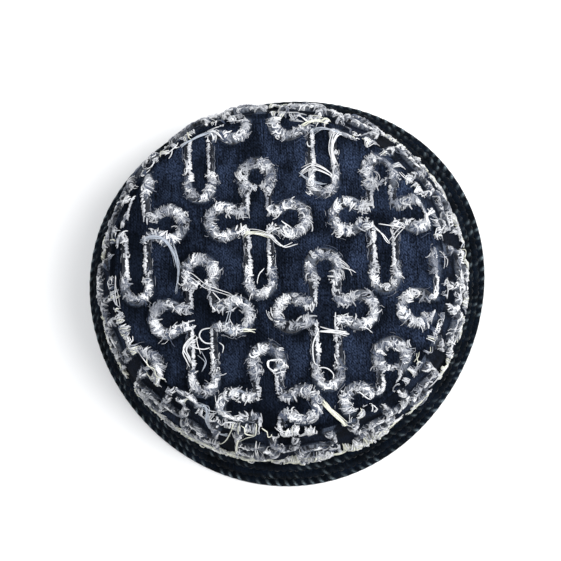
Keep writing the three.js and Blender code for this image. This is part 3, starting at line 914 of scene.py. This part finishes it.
def matted_core(own, place, keep, pale):
    """The cloth's edge matted into a lumpy roll along the border, as a ring of points at each station."""
    border = Border(*[part[::CORE_EVERY, None] for part in own])
    stations = len(border.u)
    turn = 2 * np.pi * np.arange(CORE_SIDES) / CORE_SIDES
    shown = keep(border.u + border.out_u * border.half, border.v + border.out_v * border.half)[:, 0]
    shown &= keep(border.u - border.out_u * border.half, border.v - border.out_v * border.half)[:, 0]
    near = [np.roll(shown, shift) for shift in range(-CORE_CLOSING, CORE_CLOSING + 1)]
    size = mix(CORE_CLOSED, 1.0, ease(CORE_HALF, 1.0, np.mean(near, axis=0)[:, None]))
    out = CORE_WIDTH * border.half * size * np.cos(turn)
    u, v = border.u + border.out_u * out, border.v + border.out_v * out
    lump = 1 - np.abs(bumpy(CORE_LUMPS, u, v)) - np.abs(bumpy(CORE_TUFTS, u, v))
    height = CORE_HEIGHT * mix(CORE_LOW, 1.0, border.fluff) * size
    lift = height * np.sin(turn) * np.where(turn < np.pi, LUMP_BASE + LUMP_SHARE * lump, CORE_UNDER)
    points = place(u, v, lift).reshape(-1, 3)

    # The core's colour gets painted shade in the hollows between its lumps
    tone = np.clip(mix(CORE_DULL, 1.0, lump), 0, 1) ** CORE_CONTRAST
    # On the side the core's colour gets painted shade, at half the light of the tip's
    tone = tone * mix(CORE_DULL, 1.0, border.fluff) * border.glow * pale
    tint = mix(CREVICE_SHADE, CORE_LIGHT, np.clip(tone, 0, 1)[:, :, None]).reshape(-1, 4)
    faces = ring_faces(stations, CORE_SIDES).reshape(stations, CORE_SIDES, 4)
    held = shown & np.roll(shown, -1)
    used, faces = np.unique(faces[held], return_inverse=True)
    corners = core_corners(stations)[held].reshape(-1, 2)
    return Mesh(points[used], faces.reshape(-1, 4), corners, tint[used])


# %% Kinds of fray
# Locks for each millimetre along the limbs and round the ends, strands in a lock, where a strand starts
# and ends in half-widths of the border, how far it leans along it, how high it rises and how wide it
# curls, its thickness, its points and its tone from blue-grey to white.
Fray = namedtuple("Fray", "limbs ends strands start end lean lift curl thickness points tone")
FRAYS = [
    Fray(0.05, 0.6, 3, (-0.8, 0.8), (-0.8, 0.8), 1.2, (0.1, 0.6), 1.0, (0.45, 0.75), 6, (0.0, 1.1)),
    Fray(0.04, 0.6, 6, (-0.9, -0.3), (0.2, 0.9), 0.8, (0.05, 0.5), 0.8, (0.45, 0.8), 5, (0.0, 1.4)),
    Fray(0.04, 0.2, 2, (-0.6, 0.6), (-0.6, 0.9), 0.8, (0.3, 1.0), 1.1, (0.55, 0.85), 8, (0.8, 1.2)),
    Fray(2.4, 0.0, 1, (-1.5, -0.9), (-0.6, 0.0), 0.5, (0.5, 1.2), 0.15, (0.7, 1.15), 4, (0.7, 1.2)),
    Fray(0.9, 0.0, 1, (-1.4, -0.5), (-1.4, -0.5), 1.5, (0.3, 0.8), 0.35, (0.5, 0.9), 6, (0.6, 1.2)),
    Fray(0.5, 0.1, 1, (1.0, 1.5), (1.0, 1.5), 1.4, (0.2, 0.5), 0.5, (0.22, 0.34), 6, (0.0, 0.5)),
    Fray(0.02, 0.04, 1, (-0.5, 0.6), (1.0, 1.4), 1.2, (0.3, 1.0), 1.1, (0.2, 0.34), 8, (0.6, 1.0)),
]
print("kinds of fray:", len(FRAYS))

# %% Strands along a border
CURLS, CURL_SIZES = (0.5, 1.4), (0.4, 1.4)  # turns of a curl along a strand, and its size
FLATTENED = 0.6  # curls across the border, as a share of those along it
LOCK_WIDTH = 0.6
BEDDED, ON_CORE, LEAST_LIFT, ARCH_LEAN = 0.1, 0.9, 0.1, 0.9  # how strands lie on the cloth and on the core
ARM_DULL, ARM_DULL_TO = 0.2, (1.0, 0.7)  # how much less bright the sides of the arms are, and to which fluff
# How far the strands of a lock stray from it, as shares of what locks may do
Stray = namedtuple("Stray", "turns phase curl ends lift tone")
FRAY_STRAY = Stray(0.1, 0.06, 0.1, 0.2, 0.15, 0.2)


def frayed_bundles(own, place, keep, thinned):
    """Strands along one cross's border. place puts points of the cloth's plane onto the hat, and keep
    says which of them lie on this piece of cloth."""
    bundles = []
    for fray in FRAYS:
        density = mix(fray.limbs, fray.ends, own.fluff)
        locks = chance.choice(len(own.u), int(thinned * density.sum() * STEP), p=density / density.sum())
        count = len(locks) * fray.strands
        border = Border(*[np.repeat(part[locks], fray.strands)[:, None] for part in own])
        vary = in_locks(len(locks), fray.strands)
        t = np.linspace(0, 1, fray.points)
        wave = 2 * np.pi * (vary(*CURLS, FRAY_STRAY.turns) * t + vary(0, 1, FRAY_STRAY.phase))
        curl = fray.curl * vary(*CURL_SIZES, FRAY_STRAY.curl)
        reach = mix(vary(*fray.start, FRAY_STRAY.ends), vary(*fray.end, FRAY_STRAY.ends), t)
        slant = np.repeat(chance.normal(0, fray.lean, len(locks)), fray.strands)[:, None]
        apart = LOCK_WIDTH * chance.normal(size=(count, 1)) * (fray.strands > 1)
        out = reach * border.half + FLATTENED * curl * np.sin(wave)
        along = slant * (2 * t - 1) + curl * np.cos(wave) + apart
        core = CORE_HEIGHT * border.fluff * np.sqrt(np.clip(1 - (reach / CORE_WIDTH) ** 2, 0, 1))
        arch = np.maximum(vary(*fray.lift, FRAY_STRAY.lift), LEAST_LIFT) * np.sin(np.pi * t**ARCH_LEAN)
        lift = BEDDED + ON_CORE * core + arch
        u = border.u + border.out_u * out - border.out_v * along
        v = border.v + border.out_v * out + border.out_u * along
        kept = keep(u, v).all(axis=1)
        if not kept.any():
            continue
        dull = ARM_DULL * border.arm * ease(*ARM_DULL_TO, border.fluff)
        tone = vary(*fray.tone, FRAY_STRAY.tone) * border.glow * (1 - dull)
        tints = yarn_tints(tone[kept, 0])
        thickness = chance.uniform(*fray.thickness, count)
        bundles.append(Bundle(place(u[kept], v[kept], lift[kept]), thickness[kept], tints))
    return bundles


# %% Bridge below the head's hole
# Where it hangs above the middle of the cross, half its width, how far it sags, its locks, how far they lean
# sideways and rise, how they stand on the rolled edges, limits for their yarn, and how far strands stray
BRIDGE_UP, BRIDGE_HALF, BRIDGE_SAG = 17.2, 5.0, 1.6
BRIDGE_LOCKS, BRIDGE_STRANDS, BRIDGE_POINTS, BRIDGE_CURL = 9, 5, 6, 0.4
BRIDGE_LEAN, BRIDGE_LONG = (-1.5, 1.5), (0.8, 1.8)
BRIDGE_BEDDED, BRIDGE_LIFT, BRIDGE_SIDES, BRIDGE_ARCH = 0.2, 0.4, 0.8, 0.8
BRIDGE_SLACK, BRIDGE_TONE, BRIDGE_THICKNESS = (0.1, 0.6), (0.0, 0.9), (0.4, 0.7)
BridgeStray = namedtuple("BridgeStray", "middle lean phase long slack tone")
BRIDGE_STRAY = BridgeStray(0.025, 0.1, 0.1, 0.3, 0.2, 1 / 6)


def head_bridge(place, keep):
    """Yarn that hangs across the neck of a cross and closes off the hole in its head, in combed locks."""
    t = np.linspace(-1, 1, BRIDGE_POINTS)
    vary = in_locks(BRIDGE_LOCKS, BRIDGE_STRANDS)
    middle = vary(-1, 1, BRIDGE_STRAY.middle)
    u = BRIDGE_HALF * middle + vary(*BRIDGE_LEAN, BRIDGE_STRAY.lean) * t
    u = u + BRIDGE_CURL * np.sin(2 * np.pi * (t + vary(0, 1, BRIDGE_STRAY.phase)))
    v = BRIDGE_UP - BRIDGE_SAG * (1 - middle**2) + vary(*BRIDGE_LONG, BRIDGE_STRAY.long) * t
    rise = BRIDGE_LIFT + BRIDGE_SIDES * middle**2 + vary(*BRIDGE_SLACK, BRIDGE_STRAY.slack)
    lift = BRIDGE_BEDDED + rise * (1 - BRIDGE_ARCH * t**2)
    kept = keep(u, v).all(axis=1)
    tints = yarn_tints(vary(*BRIDGE_TONE, BRIDGE_STRAY.tone)[kept, 0])
    return Bundle(place(u[kept], v[kept], lift[kept]), chance.uniform(*BRIDGE_THICKNESS, kept.sum()), tints)


# %% Borders on the tip
PRESS_FROM, PRESS_ROOM = 0.92, 0.06  # from here the seam presses yarn back, into this share of the tip
TIP_FRAY_CUT = 1.02  # and what would go further out than this is cut off by the seam
Brushing = namedtuple("Brushing", "thinned wide pale")  # shares of the strands, the width and the light painted into the cores
TIP_BRUSHING = Brushing(1.0, 1.0, 1.0)


def on_tip(cross, cut=TIP_FRAY_CUT):
    def spot(u, v):
        cos, sin = np.cos(TIP_TURN), np.sin(TIP_TURN)
        return cross[0] + u * cos - v * sin, cross[1] + u * sin + v * cos

    def place(u, v, lift):
        x, y = spot(u, v)
        reach = tip_reach(x, y)
        beyond = np.maximum(reach - PRESS_FROM, 0)
        pressed = np.minimum(reach, PRESS_FROM) + PRESS_ROOM * (1 - np.exp(-beyond / PRESS_ROOM))
        x, y = x * pressed / reach, y * pressed / reach
        return np.stack([x, y, tip_surface(x, y)[0] + lift], axis=-1)

    def keep(u, v):
        return tip_reach(*spot(u, v)) < cut

    return place, keep


def frayed_border(name, nodes, cloth, brushing, bridged=False):
    own = own_border(brushing.wide)
    bundles = frayed_bundles(own, *cloth, brushing.thinned)
    if bridged:
        bundles.append(head_bridge(*cloth))
    return yarn_piece(name, bundles, frayed_yarn, nodes, matted_core(own, *cloth, brushing.pale))


TOP_RIGHT, TOP_LEFT, RIGHT, MIDDLE, LEFT = range(5)
FAR_RIGHT, LOW_RIGHT, LOW_LEFT, FOOT_RIGHT, FOOT, FOOT_LEFT = range(5, 11)
BRIDGED = [RIGHT, MIDDLE, LOW_LEFT, FOOT_RIGHT]
OWN_CUTS = {FAR_RIGHT: 0.985, RIGHT: 1.06}  # a stem that runs along the seam, and an arm that ends at it

for number, cross in enumerate(tip_crosses):
    name, node = f"tip_fray_{number + 1:02d}", f"tip_fringe_{number + 1:02d}"
    cloth = on_tip(cross, OWN_CUTS.get(number, TIP_FRAY_CUT))
    frayed_border(name, [node], cloth, TIP_BRUSHING, number in BRIDGED)

# %% Borders round the side
SIDE_BRUSHING = Brushing(0.58, 0.7, 0.5)  # the side is less brushed than the tip, and its cores get painted shade
SIDE_FRAY_CUT = 1.5  # how far below the seam its yarn is cut off


def on_side(cross):
    def spot(u, v):
        return HEM.height + (cross[1] + v) * np.cos(SIDE_SLOPE), cross[0] + u / SIDE_MIDDLE_RADIUS

    def place(u, v, lift):
        height, angle = spot(u, v)
        radius = side_surface(height, angle)[0] + lift * np.cos(SIDE_SLOPE)
        return ring_points(radius, height + lift * np.sin(SIDE_SLOPE), angle)

    def keep(u, v):
        height = spot(u, v)[0]
        return (height > HEM.height) & (height < SEAM.height - SIDE_FRAY_CUT)

    return place, keep


for number, cross in enumerate(side_crosses):
    nodes = [f"side_fringe_{2 * number + half:02d}" for half in (1, 2)]
    frayed_border(f"side_fray_{number + 1:02d}", nodes, on_side(cross), SIDE_BRUSHING)
for number, cross in enumerate(foot_crosses, 1):
    nodes = [f"side_foot_fringe_{number:02d}"]
    frayed_border(f"side_foot_fray_{number:02d}", nodes, on_side(cross), SIDE_BRUSHING)

# %% [markdown]
# ## Raw hem and seam
#
# The lower edge of the side is left raw, so the crosswise yarn falls out of it: some ends hang over the
# band and some lie along the edge. Less of it works loose where the tip is seamed to the side. Both edges
# fray in patches. A plain fringe could be drawn on a strip of cloth, but strands hang more freely. Each is
# laid out on its edge by the way it goes round the hat and by how far down from the edge it lies, and then
# follows the cloth on either side of the edge.

# %% Yarn along an edge
SEAM_REST = 3  # how far below the seam yarn still lies on the tip's thick edge


def on_hem(angle, down, lift):
    """A point down from the side's lower edge along the band, or up the side where down is less than 0."""
    height = HEM.height - down * np.where(down > 0, math.cos(slope), math.cos(SIDE_SLOPE))
    outward = np.where(down > 0, down * math.sin(slope), down * math.sin(SIDE_SLOPE))
    radius = HEM.radius * plan_factor(HEM.height, angle) + outward + lift * math.cos(slope)
    return ring_points(radius, height + lift * math.sin(slope), angle)


def on_seam(angle, down, lift):
    """A point down the side from the seam, or in over the tip where down is less than 0."""
    reach = SEAM.radius * plan_factor(SEAM.height, angle) + np.minimum(down, 0)
    over = ring_points(reach, 0.0, angle)
    over[..., 2] = tip_height(over[..., 0], over[..., 1]) + lift
    height = SEAM.height - np.maximum(down, 0)
    rested = height + GAP + CLOTH * bell(down, SEAM_REST)
    below = ring_points(side_radius(height, angle) + lift, rested, angle)
    return np.where((down > 0)[..., None], below, over)


# %% Kinds of edge fray
# Locks and where they lie round the hat, strands in a lock, points of a strand, where it starts and ends
# down from the edge, how far it leans sideways, how high it rises and how wide it curls, its thickness,
# its tone from blue-grey to white, and the share of cream ones.
EdgeFray = namedtuple("EdgeFray", "locks turn strands points start end lean lift curl thickness tone cream")
ROUND = (0, 360)
HEM_FRAYS = [
    EdgeFray(460, ROUND, 8, 5, (-2, 0), (0.8, 4.5), 2.0, (0.5, 1.4), 0.5, (0.4, 0.7), (0.0, 1.2), 0.35),
    EdgeFray(130, ROUND, 2, 8, (-3, 3), (-3, 4), 7.0, (0.6, 1.8), 0.9, (0.4, 0.7), (0.3, 1.1), 0.35),
    EdgeFray(190, (225, 318), 3, 8, (-1, 2), (-1, 2), 7.0, (0.6, 1.4), 0.7, (0.4, 0.8), (0.3, 1.2), 0.6),
    EdgeFray(130, (272, 312), 7, 5, (-8, 0), (-1, 5), 3.0, (1.0, 2.6), 0.7, (0.4, 0.8), (0.2, 1.2), 0.3),
    EdgeFray(70, (160, 222), 6, 6, (-4, 1), (-2, 4), 3.0, (0.8, 2.0), 0.8, (0.4, 0.8), (0.2, 1.1), 0.6),
]
SEAM_FRAYS = [
    EdgeFray(220, ROUND, 7, 5, (-3, 0), (0.5, 4), 2.0, (0.3, 1.0), 0.5, (0.35, 0.6), (0.0, 1.1), 0.05),
    EdgeFray(90, ROUND, 2, 8, (-2.5, 1), (-2.5, 3), 6.0, (0.5, 1.4), 0.9, (0.35, 0.65), (0.4, 1.1), 0.15),
    EdgeFray(45, (196, 234), 6, 6, (-4, 0), (0.5, 5), 2.0, (0.3, 1.2), 0.8, (0.4, 0.7), (0.1, 1.2), 0.3),
]
print("kinds of fray at the edges:", len(HEM_FRAYS) + len(SEAM_FRAYS))

# %% Locks along the hem and seam
EDGE_PATCHES, PATCH_LIMITS = Bumps(1, 13, 44), (-1.0, 0.8)  # worn places, and how worn one has to be
EDGE_CURLS, EDGE_WIDTH, EDGE_FAN = (0.5, 1.6), 0.8, (0.6, 1.4)  # locks fan out towards their ends
EDGE_BEDDED, EDGE_ARCH_LEAN = 0.2, 0.8
EDGE_STRAY = FRAY_STRAY._replace(phase=0.1, curl=0.15)


def edge_bundle(place, fray):
    """Locks of strands along an edge, where the edge is patchily worn."""
    middle = np.radians(chance.uniform(*fray.turn, fray.locks))
    worn = bumpy(EDGE_PATCHES, HEM_ROUND * np.cos(middle), HEM_ROUND * np.sin(middle))
    middle = middle[worn > chance.uniform(*PATCH_LIMITS, fray.locks)]
    count = len(middle) * fray.strands
    vary = in_locks(len(middle), fray.strands)
    t = np.linspace(0, 1, fray.points)
    wave = 2 * np.pi * (vary(*EDGE_CURLS, EDGE_STRAY.turns) * t + vary(0, 1, EDGE_STRAY.phase))
    curl = fray.curl * vary(*CURL_SIZES, EDGE_STRAY.curl)
    slant = np.repeat(chance.normal(0, fray.lean, len(middle)), fray.strands)[:, None]
    apart = EDGE_WIDTH * chance.normal(size=(count, 1))
    drift = slant * (t - 0.5) + curl * np.cos(wave) + apart * mix(*EDGE_FAN, t)
    reach = mix(vary(*fray.start, EDGE_STRAY.ends), vary(*fray.end, EDGE_STRAY.ends), t)
    down = reach + FLATTENED * curl * np.sin(wave)
    angle = np.repeat(middle, fray.strands)[:, None] + drift / HEM.radius
    arch = np.maximum(vary(*fray.lift, EDGE_STRAY.lift), LEAST_LIFT) * np.sin(np.pi * t**EDGE_ARCH_LEAN)
    tints = yarn_tints(vary(*fray.tone, EDGE_STRAY.tone)[:, 0], fray.cream)
    return Bundle(place(angle, down, EDGE_BEDDED + arch), chance.uniform(*fray.thickness, count), tints)


for name, place, frays in (("hem_fray", on_hem, HEM_FRAYS), ("seam_fray", on_seam, SEAM_FRAYS)):
    yarn_piece(name, [edge_bundle(place, fray) for fray in frays], frayed_yarn)

# %% [markdown]
# ## Loose threads
#
# Longer yarns have worked out of the fray. Some lie over the crosses, and some hang from the seam at the
# front. They could be left to chance too, but single threads are what the eye picks out, so each is laid
# one by one, as a few points in millimetres with a smooth curve through them. Where the cloth gives off a
# whole veil of them, several strands share one route.

# %% Routes of the loose threads
# On the tip a thread starts from the middle of its cross, and its route goes right and up from there. At
# the seam it starts from a turn round the hat, and its route goes right along the seam and up from it.
Thread = namedtuple("Thread", "start strands thickness colour route")
TIP_THREADS = [
    Thread(
        MIDDLE, 4, 0.5, WHITE,
        [(-6.5, -7), (-4, -5.5), (1, -6), (6, -8), (8.5, -11), (12, -13.5), (17, -12)],
    ),
    Thread(MIDDLE, 3, 0.6, CREAM, [(-6.5, -7), (-4, -5.5), (1, -6), (6, -8)]),
    Thread(MIDDLE, 1, 0.5, WHITE, [(2, -23), (0, -26), (-1.5, -30)]),
    Thread(MIDDLE, 1, 0.5, WHITE, [(-4, -34), (-5.5, -38)]),
    Thread(TOP_LEFT, 2, 0.5, WHITE, [(4.5, -0.5), (8.5, -3), (11.5, -6), (12.5, -8)]),
    Thread(TOP_LEFT, 4, 0.5, BLUE, [(-9, -9), (-5, -6), (0, -4), (8, -2)]),
    Thread(TOP_RIGHT, 8, 0.55, WHITE, [(12, -4.5), (8, -6), (5.5, -10), (4.5, -16), (6, -22)]),
    Thread(TOP_RIGHT, 6, 0.35, BLUE, [(-5, -6), (1, -4), (7, -5), (13, -8)]),
    Thread(TOP_RIGHT, 5, 0.5, WHITE, [(-10.5, -25), (-4.5, -22.5), (2.5, -26), (5.5, -30)]),
    Thread(TOP_RIGHT, 5, 0.5, BLUE, [(-10.5, -25.5), (-5.5, -29.5), (0, -31)]),
    Thread(LOW_LEFT, 2, 0.5, WHITE, [(-7.5, 21.5), (-3, 19.5), (2.5, 14.5), (8, 12), (13.5, 10)]),
    Thread(LOW_LEFT, 1, 0.5, WHITE, [(6, 12), (9, 8), (8, 6.5)]),
    Thread(LOW_LEFT, 2, 0.5, BLUE, [(14.5, 8), (15, 3.5), (13.5, -3), (12, -7.5)]),
    Thread(LOW_LEFT, 1, 0.8, WHITE, [(4.5, -5), (0, -6), (-1.5, -9), (1, -12), (5, -12.5)]),
    Thread(LOW_LEFT, 4, 0.8, WHITE, [(-3.5, -8.5), (-7, -11), (-9, -14.5), (-7.5, -18.5), (-6.5, -21.5)]),
    Thread(LOW_LEFT, 1, 0.7, WHITE, [(-7, -11), (-4.5, -14), (-0.5, -15), (3, -14.5)]),
    Thread(LOW_LEFT, 1, 0.7, WHITE, [(-3, -8.5), (-2, -14), (-1.5, -17)]),
    Thread(LOW_LEFT, 2, 0.4, BLUE, [(-1.5, -16.5), (1, -21), (-1.5, -25.5)]),
    Thread(LOW_LEFT, 1, 0.5, WHITE, [(8, -12.5), (10, -14), (9, -17)]),
    Thread(LOW_LEFT, 3, 0.8, CREAM, [(18.5, -7.5), (25.5, -7.5)]),
    Thread(LEFT, 13, 0.32, BLUE, [(3.5, -7), (9, -5.5), (14.5, -7.5), (18.5, -14), (20, -21)]),
    Thread(LEFT, 5, 0.32, BLUE, [(17.5, -8.5), (19.5, -14.5), (20, -21), (19.5, -25.5), (18, -32)]),
    Thread(FOOT, 2, 0.7, WHITE, [(6.5, 21.5), (1.5, 21.5), (1, 18.5), (4, 16)]),
    Thread(FOOT_LEFT, 1, 0.6, WHITE, [(-11, 27), (-7, 22), (-4.5, 18), (0.5, 15)]),
    Thread(FOOT_LEFT, 1, 0.6, WHITE, [(-4.5, 7.5), (-4, 11), (-0.5, 12.5)]),
    Thread(RIGHT, 2, 0.6, WHITE, [(-4, -5), (0, -9), (2, -13), (3, -14.5)]),
    Thread(RIGHT, 2, 0.5, WHITE, [(10, -5), (6, -9), (2, -13.5)]),
    Thread(RIGHT, 1, 0.6, WHITE, [(-2, -4.5), (4, -6), (10, -7)]),
    Thread(LOW_RIGHT, 4, 0.8, WHITE, [(-4.5, -8.2), (0, -9), (5, -9.6), (9.5, -10.6)]),
    Thread(LOW_RIGHT, 1, 0.8, WHITE, [(-5.7, -6), (-3.7, -9.3), (-6.6, -16), (-6.6, -23.7), (-4, -25.5)]),
    Thread(LOW_RIGHT, 1, 0.7, WHITE, [(-5, -27), (-3, -26.2), (-0.3, -27), (1.9, -29.6), (1.9, -32.2)]),
    Thread(LOW_RIGHT, 2, 0.5, WHITE, [(5, 26), (9, 23), (12, 20)]),
    Thread(LOW_RIGHT, 2, 0.5, WHITE, [(6, 22), (11, 19), (13, 17)]),
    Thread(LOW_RIGHT, 2, 0.6, WHITE, [(15, -8), (19, -9), (22, -11)]),
]
SEAM_THREADS = [
    Thread(254.5, 1, 0.8, CREAM, [(0, 1.7), (-2.7, -12), (-6.7, -29)]),
    Thread(256, 2, 0.9, CREAM, [(0, 1.4), (0.3, -8), (0, -13.5), (-0.8, -28), (-0.5, -40)]),
    Thread(256, 1, 0.8, CREAM, [(0, -14.5), (4, -6), (8.9, -0.5), (8.7, 3.5)]),
    Thread(257, 1, 0.7, CREAM, [(0, 1), (3.4, -0.5), (6.5, -2)]),
    Thread(264.5, 1, 0.8, CREAM, [(0, 1.5), (4.7, -0.5)]),
    Thread(262.8, 3, 0.6, WHITE, [(0, -12), (-0.4, -35)]),
    Thread(241, 8, 0.4, BLUE, [(-3.3, 1.5), (3, 2.6), (7.8, -9), (15, -11)]),
    Thread(218, 1, 0.7, CREAM, [(-7, 4), (-3, 1.5), (1, 3), (4, 1.5), (8, 3)]),
    Thread(294, 14, 0.55, CREAM, [(-6, 11.5), (-4.5, 8), (-2, 3), (0.5, -2)]),
    Thread(80, 9, 0.5, CREAM, [(0, 6), (-3, 3), (-7, 1), (-12, -0.5)]),
]
print("routes of loose threads:", len(TIP_THREADS) + len(SEAM_THREADS))

# %% Loose threads
THREAD_POINTS = 20
VEIL_SPREAD, SINGLE_SPREAD = 0.8, 0.1  # how far the ends of strands stray from their route
THREAD_WANDER, THREAD_WAVES = 0.2, (0.5, 1.4)
THREAD_BEDDED, THREAD_ARCH, THREAD_DIP = 0.4, 1.8, 0.3
THREAD_SIZES, THREAD_TONES = (0.7, 1.1), (0.8, 1.0)


def smooth_route(route):
    """Points along a smooth curve through a route, each leg bent by the points before and after it."""
    ends = np.array([route[0], *route, route[-1]], dtype=float)
    place = np.linspace(0, len(route) - 1, THREAD_POINTS)
    leg = np.minimum(place.astype(int), len(route) - 2)
    t = (place - leg)[:, None]
    before, start, end, after = (ends[leg + i] for i in range(4))
    bend = (2 * before - 5 * start + 4 * end - after) * t**2 + (3 * start - before - 3 * end + after) * t**3
    return start + 0.5 * ((end - before) * t + bend)


def hung_at(turn):
    return lambda u, v, lift: on_seam(np.radians(turn) + u / SEAM.radius, -v, lift)


laid = [(thread, on_tip(tip_crosses[thread.start])[0]) for thread in TIP_THREADS]
laid += [(thread, hung_at(thread.start)) for thread in SEAM_THREADS]
t = np.linspace(0, 1, THREAD_POINTS)
paths, sizes, tints = [], [], []
for thread, place in laid:
    for strand in range(thread.strands):
        spread = VEIL_SPREAD if thread.strands > 1 else SINGLE_SPREAD
        start, end = chance.normal(0, spread, (2, 2, 1))
        waves = chance.uniform(*THREAD_WAVES, (2, 1)) * t + chance.random((2, 1))
        wander = THREAD_WANDER * np.sin(2 * np.pi * waves)
        u, v = smooth_route(thread.route).T + mix(start, end, t) + wander
        lift = THREAD_BEDDED + THREAD_ARCH * np.sqrt(np.sin(np.pi * t)) + THREAD_DIP * wander[0]
        paths.append(place(u[None], v[None], lift[None]))
        sizes.append(thread.thickness * chance.uniform(*THREAD_SIZES))
        tints.append(thread.colour * chance.uniform(*THREAD_TONES))
threads = Bundle(np.concatenate(paths), np.array(sizes), opaque(np.array(tints)))
yarn_piece("loose_threads", [threads], frayed_yarn)

# %% [markdown]
# ## Stitches of the band
#
# The rows of the band are held by plain machine stitches in dark thread, about three millimetres long.
# They could be drawn as a dashed line, but as short strands that dip into the cloth at both ends they
# show in the grooves from any side.

# %% Band stitches
STITCH, STITCH_GAP, STITCH_THICKNESS, STITCH_POINTS = 2.7, 0.6, 0.55, 5
STITCH_RISE, STITCH_BEND, STITCH_SLANT = 0.45, 2.4, 0.3
STITCH_TONES = (0.6, 1.2)

paths = []
t = np.linspace(-0.5, 0.5, STITCH_POINTS)
rise = STITCH_RISE - STITCH_BEND * t**2
for row in range(1, BAND_ROWS):
    radius, height = band_at(row * row_width, -BAND_GROOVE)
    count = int(2 * np.pi * radius / (STITCH + STITCH_GAP))
    angle = 2 * np.pi * np.arange(count)[:, None] / count + t * STITCH / radius
    outward = (radius + rise) * plan_factor(height, angle)
    paths.append(ring_points(outward, height + STITCH_SLANT * rise, angle))
paths = np.concatenate(paths)
tints = DARK_THREAD * chance.uniform(*STITCH_TONES, (len(paths), 1))
stitches = Bundle(paths, np.full(len(paths), STITCH_THICKNESS), opaque(tints))
yarn_piece("band_stitches", [stitches], sewing_thread)

# %% [markdown]
# ## Floor, light and camera
#
# The hat lies on a plain white floor. A pale sky lights it from all round. A large lamp at the right gives
# the fluff its bright sides, and a weaker one behind at the left opens up the shadows. One lamp could do,
# but the left side would then sink into black. The camera looks almost straight down.

# %% Floor
FLOOR, CLOUD = 6, 0.15  # width of the floor and of the faint clouds in its paper, in metres

material, tree = new_material("matt_white_paper")
clouds = add_node(tree, "TexNoise", {"Scale": FLOOR / CLOUD, "Detail": 2.0})
tone = add_node(tree, "MapRange", {"Value": clouds, "To Min": 0.9, "To Max": 0.93})
shader = add_node(tree, "BsdfPrincipled", {"Base Color": tone, "Roughness": 0.9})
add_node(tree, "OutputMaterial", {"Surface": shader})
mesh = bpy.data.meshes.new("floor")
half = FLOOR / 2
mesh.from_pydata([(-half, -half, 0), (half, -half, 0), (half, half, 0), (-half, half, 0)], [], [(0, 1, 2, 3)])
mesh.materials.append(material)
floor = bpy.data.objects.new("floor", mesh)
bpy.context.scene.collection.objects.link(floor)
print("floor:", FLOOR, "m wide")

# %% Light
SKY_COLOUR, SKY_STRENGTH = (0.95, 0.97, 1.0, 1.0), 0.7
LAMP_AIM = Vector((0, 0, 0.05))
Lamp = namedtuple("Lamp", "name place size power")
LAMPS = [Lamp("key_lamp", (0.6, 0.0, 1.1), 0.7, 16), Lamp("fill_lamp", (-0.5, 0.5, 1.3), 1.2, 7)]

world = bpy.data.worlds.new("pale_sky")
world.use_nodes = True
world.node_tree.nodes["Background"].inputs["Color"].default_value = SKY_COLOUR
world.node_tree.nodes["Background"].inputs["Strength"].default_value = SKY_STRENGTH
bpy.context.scene.world = world
bpy.context.scene.view_settings.view_transform = "Standard"
for lamp in LAMPS:
    light = bpy.data.lights.new(lamp.name, "AREA")
    light.shape, light.size, light.energy = "DISK", lamp.size, lamp.power
    stand = bpy.data.objects.new(lamp.name, light)
    stand.location = lamp.place
    stand.rotation_euler = (LAMP_AIM - stand.location).to_track_quat("-Z", "Y").to_euler()
    bpy.context.scene.collection.objects.link(stand)
    print(lamp.name, lamp.power, "W")

# %% Camera
CAMERA_TURN, CAMERA_RISE, CAMERA_DISTANCE = math.radians(30), math.radians(82.8), 1.2
CAMERA_TARGET = Vector((-0.0029, 0.0063, 0))
PIXEL, PIXELS = 0.508 * MM, 561  # size of a picture point at the target, and how many lie across
SENSOR = 36

level = math.cos(CAMERA_RISE)
away = Vector((level * math.sin(CAMERA_TURN), -level * math.cos(CAMERA_TURN), math.sin(CAMERA_RISE)))
right = (-away).cross(Vector((0, 1, 0))).normalized()
upward = right.cross(-away)
lens = bpy.data.cameras.new("camera")
lens.sensor_width = SENSOR
lens.lens = SENSOR * CAMERA_DISTANCE / (PIXEL * PIXELS)
camera = bpy.data.objects.new("camera", lens)
turned = Matrix((right, upward, away)).transposed().to_4x4()
camera.matrix_world = Matrix.Translation(CAMERA_TARGET + CAMERA_DISTANCE * away) @ turned
bpy.context.scene.collection.objects.link(camera)
bpy.context.scene.camera = camera
print("lens:", round(lens.lens, 1), "mm")
